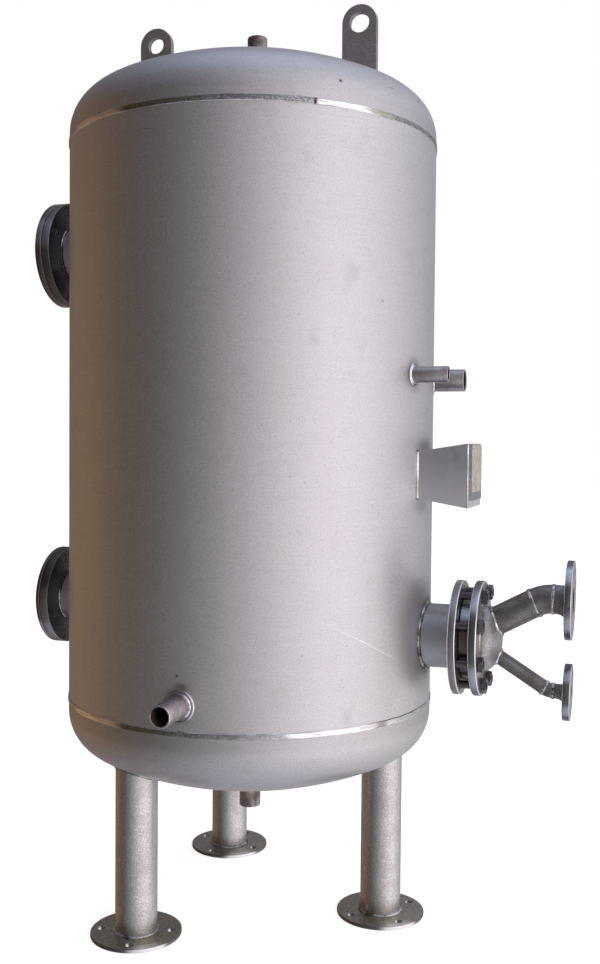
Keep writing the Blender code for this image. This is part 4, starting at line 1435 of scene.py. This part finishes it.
def build_heater_body(place):
    low, high = span("heater_neck")
    neck = neck_pipe("heater_neck_pipe", "heater_neck", low.x, high.x, place, "Neck steel")
    saddle_weld("heater_shell_weld", neck, place, 0, "heater_shell", "Heater shell weld")
    for node, bore, finish_name in (
            ("heater_body_flange", neck + 0.0002, "Heater body flange steel"),
            ("channel_flange", CHANNEL_BORE, "Heater flange steel")):
        low, high = span(node)
        build_flange(node + "_ring", half_size(node).z, bore, low.x, high.x, HEATER_BOLT_CIRCLE,
                     BOLT_COUNT, HEATER_HOLE, place, finish_name, node, edge=0.0022)
    ring = ring_bead("heater_neck_fillet", neck + 0.001, "heater_flange", lean=-45)
    piece("heater_neck_flange_weld", ring, along(place, span("heater_body_flange")[0].x),
          "Bright socket weld", "flange_steel")


def build_tubesheet(place):
    """The tubesheet between two fibre gaskets."""
    low, high = span("heater_tubesheet")
    radius = half_size("heater_tubesheet").z
    inner, outer = low.x + GASKET_HEIGHT, high.x - GASKET_HEIGHT
    disc = revolved("tubesheet_steel", flange_outline(radius, 0.0, inner, outer, 0.0008), 120,
                    closed=False)
    piece("tubesheet", disc, place, "Tubesheet steel", "pipe_steel", "heater_tubesheet")
    rings = [(revolved("gasket_ring", pipe_outline(radius + 0.001, GASKET_BORE, start, end), 96), HERE)
             for start, end in ((low.x, inner), (outer, high.x))]
    piece("heater_gaskets", joined("heater_gasket_rings", rings), place, "Fibre gasket",
          "pipe_steel")


def dome_points(offset, base):
    """(radius, height) down the channel dome's surface, pushed out by an offset."""
    radius = DOME_RADIUS + offset
    height = span("channel_dome")[1].x - base + offset
    return [(radius * math.sin(a), base + height * math.cos(a))
            for a in np.linspace(0, math.pi / 2, 25)]


def build_dome(place):
    base = span("channel_dome")[0].x
    outline = dome_points(0.0, base) + dome_points(-DOME_WALL, base)[::-1]
    mesh = revolved("dome_steel", outline, 96, closed=False)
    holes = []
    for branch in BRANCHES.values():
        x, z = branch["start"]
        hole = aim(x, 0, z, 0, branch["slope"])
        holes.append((place.inverted() @ hole, branch["bore"]))
    mesh = drilled(mesh, holes, depth=0.05, sides=32)
    piece("channel_dome_cap", mesh, place, "Dome steel", "pipe_steel", "channel_dome")
    ring = ring_bead("dome_base_ring", DOME_RADIUS + 0.001, "dome", lean=45)
    piece("dome_base_weld", ring, along(place, base), "Dome weld", "pipe_steel")


def build_studs(place, settings):
    """Eight studs set into the body flange, with a nut outside the channel's flange."""
    back = span("heater_body_flange")[0].x + STUD_DEPTH
    face = span("channel_flange")[1].x
    tip = face + settings.nut_height + THREAD_PAST_NUT
    radius = HEATER_SHANK_RADIUS
    shank = revolved("heater_shank", [(0, face), (radius, face), (radius, back), (0, back)], 24,
                     closed=False)
    thread = threaded_rod("heater_thread", HEATER_THREAD_RADIUS, face, tip, pitch=0.0026)
    nut = hex_nut("heater_nut", settings.nut_width, settings.nut_height, HEATER_NUT_BORE)
    washer = revolved("heater_washer", pipe_outline(*WASHER_RADII, 0, WASHER_HEIGHT), 40)
    studs, nuts = [], []
    for twist, spot in zip(NUT_TWISTS, bolt_places(HEATER_BOLT_CIRCLE, BOLT_COUNT)):
        seat = along(spot, face)
        turn = Matrix.Rotation(math.radians(twist), 4, "Z")
        studs += [(shank, spot), (thread, spot)]
        nuts += [(washer, seat), (nut, along(seat @ turn, WASHER_HEIGHT))]
    for name, parts, finish_name in (("heater_studs", studs, "Heater stud steel"),
                                     ("heater_nuts", nuts, "Heater nut steel")):
        piece(name, joined(name, parts, 25), place, finish_name, "flange_steel")


# Branches

class HEATER_OT_branches(bpy.types.Operator):
    """Build the two branches that carry heating water to and from the channel"""
    bl_idname = "heater.branches"
    bl_label = "Branches"

    def execute(self, context):
        for side, branch in BRANCHES.items():
            build_branch(side, branch)
        return {"FINISHED"}


def step_along(point, slope, length):
    angle = math.radians(slope)
    return (point[0] + length * math.cos(angle), point[1] + length * math.sin(angle))


def elbow_ring(branch, start, share, radius, turn):
    """A ring of the elbow's tube at a share of its bend, and its middle in the XZ plane."""
    first, last = math.radians(branch["slope"]), math.radians(branch["end_slope"])
    now = first + (last - first) * share
    bend = math.copysign(branch["elbow_radius"], last - first)
    x = start[0] + bend * (math.sin(now) - math.sin(first))
    z = start[1] + bend * (math.cos(first) - math.cos(now))
    across, up = radius * np.cos(turn), radius * np.sin(turn)
    return np.stack([x + math.sin(now) * across, up, z - math.cos(now) * across], -1), (x, z)


def channel_reach(branch, turn, radius):
    """How far back along a branch's own axis its tube meets the dome or the channel's face."""
    height = middle("heater_neck").z
    face, apex = span("channel_flange")[1].x, span("channel_dome")[1].x
    slope = math.radians(branch["slope"])
    x0, z0 = branch["start"]
    steps = np.linspace(-0.09, 0.05, 1401)
    reach = []
    for a in turn:
        across, up = radius * math.cos(a), radius * math.sin(a)
        x = x0 + steps * math.cos(slope) + across * math.sin(slope)
        z = z0 + steps * math.sin(slope) - across * math.cos(slope) - height
        deep = np.clip((x - face) / (apex - face), 0, None)
        inside = (x < face) | (deep**2 + (z**2 + up**2) / DOME_RADIUS**2 < 1)
        reach.append(steps[np.nonzero(inside)[0][-1]] if inside.any() else steps[0])
    return np.array(reach)


def build_branch(side, branch):
    name, run = side + "_branch", branch["run"]
    place = aim(branch["start"][0], 0, branch["start"][1], 0, branch["slope"])
    radii = (branch["radius"], branch["bore"])

    def seat(turn, r):
        return channel_reach(branch, turn, r)

    pipe = tube(side + "_run", ring_at(radii, seat), ring_at(radii, run), 64, 12)
    piece(name + "_run", pipe, place, "Branch pipe steel", "pipe_steel", name + "_pipe")
    bend_start = step_along(branch["start"], branch["slope"], run)
    shares = np.linspace(0, 1, 15)
    rings = [elbow_ring(branch, bend_start, t, radius, around(64))
             for radius, way in ((radii[0], 1), (radii[1], -1)) for t in shares[::way]]
    bend = grid_mesh(side + "_bend", [points for points, _ in rings], wrap_rows=True)
    piece(name + "_bend", bend, upright(), "Branch pipe steel", "pipe_steel", name + "_elbow")
    x, z = rings[len(shares) - 1][1]
    end = aim(x, 0, z, 0, branch["end_slope"])
    build_branch_neck(side, branch, end)
    half = half_size(name + "_flange")
    thickness = 2 * half.x - 2 * half.z * abs(math.sin(math.radians(branch["end_slope"])))
    build_flange(name + "_ring", half.z, branch["bore"], branch["neck"],
                 branch["neck"] + thickness, branch["bolt_circle"], branch["bolts"],
                 branch["hole"], end, "Branch flange steel", name + "_flange")
    turn = around(160)
    saddle = bead(side + "_saddle", ring_at(radii, seat)(turn, 0), circle(1.0, turn, 0.9),
                  "branch_saddle", pitch=0.0028, wander=0.0012)
    seam = ring_bead(side + "_seam", radii[0], "branch_seam", pitch=0.0026, wander=0.0012)
    joints = [(saddle, place), (seam, along(place, run)), (seam, end)]
    piece(name + "_welds", joined(side + "_branch_beads", joints, 60), HERE, "Branch weld",
          "pipe_steel")


def build_branch_neck(side, branch, place):
    """The short neck, level on top and swept out below where it meets its flange."""
    turn = around(64)
    swell = branch["spread"] * (0.5 + 0.5 * np.cos(turn)) ** 1.2
    rings = [circle(branch["radius"] + swell * t**3, turn, t * branch["neck"])
             for t in np.linspace(0, 1, 12)]
    rings += [circle(branch["bore"], turn, t * branch["neck"]) for t in (1.0, 0.0)]
    mesh = grid_mesh(side + "_neck_steel", rings, wrap_rows=True)
    piece(side + "_branch_stub", mesh, place, "Branch pipe steel", "pipe_steel",
          side + "_branch_neck")


# Lugs

class HEATER_OT_lugs(bpy.types.Operator):
    """Build the two lifting lugs and the welds at their feet"""
    bl_idname = "heater.lugs"
    bl_label = "Lifting lugs"

    def execute(self, context):
        for side in LUG_HOLES:
            build_lug(side)
        return {"FINISHED"}


def build_lug(side):
    node = "lifting_lug_" + side
    centre = middle(node).x
    half, thick = half_size(node).x, half_size(node).y
    eye = span(node)[1].z - half
    feet = np.linspace(half, -half, 13)
    seat = over_top(np.abs(centre + feet)) - 0.002 - eye
    rounded = [(half * math.cos(a), half * math.sin(a)) for a in np.linspace(math.pi, 0, 49)]
    mesh = slab(node + "_plate", rounded + list(zip(feet, seat)), thick)
    mesh = drilled(mesh, [(HERE, LUG_HOLES[side])], sides=48, bevel=0.0012)
    place = upright(centre, 0, eye) @ Matrix.Rotation(math.pi / 2, 4, "X")
    piece("lug_plate_" + side, mesh, place, "Lug steel", "pipe_steel", node)
    x = centre + np.linspace(-half - 0.002, half + 0.002, 40)
    beads = [open_bead(x, way * (thick + 0.001), over_top(np.abs(x)) + 0.001, (0, way, 1),
                       "lug") for way in (-1, 1)]
    piece("lug_welds_" + side, joined("lug_beads_" + side, beads, 60), upright(), "Pipe weld",
          "pipe_steel")


# Nameplate

class HEATER_OT_nameplate(bpy.types.Operator):
    """Build the nameplate's flared bracket and its bare plate"""
    bl_idname = "heater.nameplate"
    bl_label = "Nameplate"

    def execute(self, context):
        build_bracket()
        build_nameplate()
        return {"FINISHED"}


def bracket_levels(x):
    """The bracket's lower and upper height at a distance from the vessel's axis."""
    low, high = span("nameplate_bracket")
    share = (high.x - x) / (high.x - RADIUS)
    return [corner.z + (back - corner.z) * share
            for corner, back in zip((low, high), BRACKET_BACK_HEIGHTS)]


def build_bracket():
    """A box of sheet that flares away from the shell, with its back open to it, and its welds."""
    half, front = half_size("nameplate_bracket").y, span("nameplate_bracket")[1].x
    back = float(shell_depth(half)) - 0.004
    shape = bmesh.new()
    loops = []
    for x, s in ((back, 0), (front, 0), (front - BRACKET_SHEET, BRACKET_SHEET),
                 (back, BRACKET_SHEET)):
        bottom, top = bracket_levels(x)
        loops.append([shape.verts.new(point) for point in (
            (x, s - half, bottom + s), (x, half - s, bottom + s), (x, half - s, top - s),
            (x, s - half, top - s))])
    for first, second in ((0, 1), (2, 3), (0, 3)):
        for i in range(4):
            j = (i + 1) % 4
            shape.faces.new((loops[first][i], loops[first][j], loops[second][j],
                             loops[second][i]))
    shape.faces.new(loops[1])
    shape.faces.new(loops[2])
    bmesh.ops.recalc_face_normals(shape, faces=shape.faces)
    box = piece("bracket_box", mesh_of(shape, "bracket_sheet"), upright(), "Bracket steel",
                "vessel_steel", "nameplate_bracket")
    soften(box, 0.0008)
    beads = []
    run = np.linspace(-half, half, 60)
    depth = shell_depth(run)
    for way in (-1, 1):
        beads.append(open_bead(back + 0.0045, way * (half + 0.0008),
                               np.linspace(*bracket_levels(back), 40), (0.6, way, 0),
                               "bracket_side"))
        bottom, top = bracket_levels(front)
        beads.append(open_bead(front - 0.0012, way * (half - 0.0008),
                               np.linspace(bottom + 0.001, top - 0.001, 40), (1, way, 0),
                               "bracket_corner"))
        level = bracket_levels(depth)[way > 0]
        beads.append(open_bead(depth + 0.0008, run, level + way * 0.0008, (0.7, 0, way),
                               "bracket_edge"))
    piece("bracket_welds", joined("bracket_beads", beads, 60), upright(), "Bracket weld",
          "vessel_steel")


def build_nameplate():
    """A bare plate with a rivet at each corner."""
    half = half_size("nameplate")
    corner, inset = 0.004, 0.009
    outline = []
    for quarter, (sx, sy) in enumerate(((1, 1), (-1, 1), (-1, -1), (1, -1))):
        for angle in np.linspace(0, math.pi / 2, 6) + quarter * math.pi / 2:
            outline.append((sx * (half.y - corner) + corner * math.cos(angle),
                            sy * (half.z - corner) + corner * math.sin(angle)))
    place = aim(*middle("nameplate"), 0) @ Matrix.Rotation(math.pi / 2, 4, "Z")
    plate = piece("nameplate_sheet", slab("nameplate_sheet", outline, half.x), place,
                  "Nameplate steel", "plate_steel", "nameplate")
    soften(plate, 0.0009)
    dome = [(0.0, 0.0016)] + [(0.003 * math.sin(a), 0.0016 * math.cos(a))
                              for a in np.linspace(0.2, math.pi / 2, 6)] + [(0.003, -0.001)]
    rivet = revolved("rivet", dome, 20, closed=False)
    rivets = [(rivet, Matrix.Translation((sx * (half.y - inset), sy * (half.z - inset), half.x)))
              for sx in (-1, 1) for sy in (-1, 1)]
    piece("nameplate_rivets", joined("nameplate_rivet_heads", rivets), place, "Bolt steel",
          "plate_steel")


# Stage

class HEATER_OT_stage(bpy.types.Operator):
    """Set the pale floor, the soft light and the camera"""
    bl_idname = "heater.stage"
    bl_label = "Stage"

    def execute(self, context):
        settings = context.scene.heater_stage
        build_floor(settings)
        build_light(settings)
        build_camera(context.scene)
        context.scene.view_settings.view_transform = "Standard"
        return {"FINISHED"}


def for_the_camera(tree, seen, otherwise, output):
    """Wires one shader for what the camera sees directly and another for all other light."""
    direct = tree.nodes.new("ShaderNodeLightPath").outputs["Is Camera Ray"]
    mix = add_node(tree, "ShaderNodeMixShader", {0: direct, 1: otherwise, 2: seen})
    wire(tree, mix.outputs[0], tree.nodes[output].inputs["Surface"])


def build_floor(settings):
    """A pale floor for the camera; the light that it would throw back is part of the dome's."""
    shape = bmesh.new()
    bmesh.ops.create_grid(shape, x_segments=1, y_segments=1, size=30.0)
    mesh = mesh_of(shape, "floor")
    floor = bpy.data.objects.new("floor", mesh)
    bpy.context.scene.collection.objects.link(floor)
    tree = new_material("Pale floor", metallic=0.0)[0]
    shader = tree.nodes["Principled BSDF"]
    for socket, value in (("Base Color", (*settings.floor, 1.0)), ("Roughness", 0.9),
                          ("Specular IOR Level", 0.0), ("Emission Color", (1.0, 1.0, 1.0, 1.0)),
                          ("Emission Strength", settings.floor_glow)):
        shader.inputs[socket].default_value = value
    clear = tree.nodes.new("ShaderNodeBsdfTransparent")
    for_the_camera(tree, shader.outputs[0], clear.outputs[0], "Material Output")
    mesh.materials.append(bpy.data.materials["Pale floor"])


def build_light(settings):
    """A dome of soft lights, and plain white where the camera looks past the heater."""
    world = bpy.data.worlds.new("Studio")
    bpy.context.scene.world = world
    world.use_nodes = True
    tree = world.node_tree
    way = tree.nodes.new("ShaderNodeTexCoord").outputs["Generated"]
    glow = (0.0, 0.0, 0.0)
    for name, (azimuth, slope, width, colour) in LIGHTS.items():
        strength = settings.key if name == "window" else settings.fill
        aimed = aim(0, 0, 0, azimuth, slope).to_3x3() @ Vector((0, 0, 1))
        toward = vector_maths(tree, "DOT_PRODUCT", way, aimed)
        lobe = times(tree, maths(tree, "SUBTRACT", toward, 1.0), 1 / width**2)
        lobe = times(tree, maths(tree, "POWER", math.e, lobe), strength)
        tinted = add_node(tree, "ShaderNodeVectorMath", {0: colour, "Scale": lobe},
                          operation="SCALE")
        glow = vector_maths(tree, "ADD", glow, tinted.outputs[0])
    dome = tree.nodes["Background"]
    wire(tree, glow, dome.inputs["Color"])
    white = add_node(tree, "ShaderNodeBackground", {"Color": (1.0, 1.0, 1.0, 1.0)})
    for_the_camera(tree, white.outputs[0], dome.outputs[0], "World Output")


def build_camera(scene):
    """The photograph's camera, whose long side is the picture's height."""
    data = bpy.data.cameras.new("camera")
    data.sensor_width = SENSOR
    data.lens = CAMERA_FOCAL_PIXELS * SENSOR / max(PHOTO_SIZE)
    camera = bpy.data.objects.new("camera", data)
    scene.collection.objects.link(camera)
    turn = Matrix.Rotation(math.radians(CAMERA_AZIMUTH + 90), 3, "Z")
    heading, pitch, roll = (math.radians(v) for v in (CAMERA_HEADING, CAMERA_PITCH, CAMERA_ROLL))
    ahead = Vector((math.sin(heading) * math.cos(pitch), math.cos(heading) * math.cos(pitch),
                    math.sin(pitch)))
    level = Vector((math.cos(heading), -math.sin(heading), 0))
    up = level.cross(ahead)
    right = level * math.cos(roll) + up * math.sin(roll)
    up = up * math.cos(roll) - level * math.sin(roll)
    axes = [turn @ axis for axis in (right, up, -ahead)]
    place = AXIS + turn @ Vector((0, -CAMERA_DISTANCE, CAMERA_HEIGHT))
    camera.matrix_world = Matrix.Translation(place) @ Matrix(axes).transposed().to_4x4()
    scene.camera = camera


# Add-on

OPERATORS = (HEATER_OT_stage, HEATER_OT_vessel, HEATER_OT_legs, HEATER_OT_sockets,
             HEATER_OT_nozzles, HEATER_OT_heater, HEATER_OT_branches, HEATER_OT_lugs,
             HEATER_OT_nameplate)
SETTINGS = {"heater_vessel": VesselSettings, "heater_steelwork": SteelworkSettings,
            "heater_stage": StageSettings}


class HEATER_PT_panel(bpy.types.Panel):
    """Lists the heater's settings and its build steps"""
    bl_idname = "HEATER_PT_panel"
    bl_label = "Storage water heater"
    bl_space_type = "VIEW_3D"
    bl_region_type = "UI"
    bl_category = "Water heater"

    def draw(self, context):
        for group, kind in SETTINGS.items():
            box = self.layout.box()
            for name in kind.__annotations__:
                box.prop(getattr(context.scene, group), name)
        for operator in OPERATORS:
            self.layout.operator(operator.bl_idname)


CLASSES = (*SETTINGS.values(), *OPERATORS, HEATER_PT_panel)


def register():
    for cls in CLASSES:
        bpy.utils.register_class(cls)
    for group, kind in SETTINGS.items():
        setattr(bpy.types.Scene, group, PointerProperty(type=kind))


def unregister():
    for group in SETTINGS:
        delattr(bpy.types.Scene, group)
    for cls in reversed(CLASSES):
        bpy.utils.unregister_class(cls)


def main():
    register()
    make_groups()
    for operator in OPERATORS:
        group, name = operator.bl_idname.split(".")
        getattr(getattr(bpy.ops, group), name)()


if __name__ == "__main__":
    main()
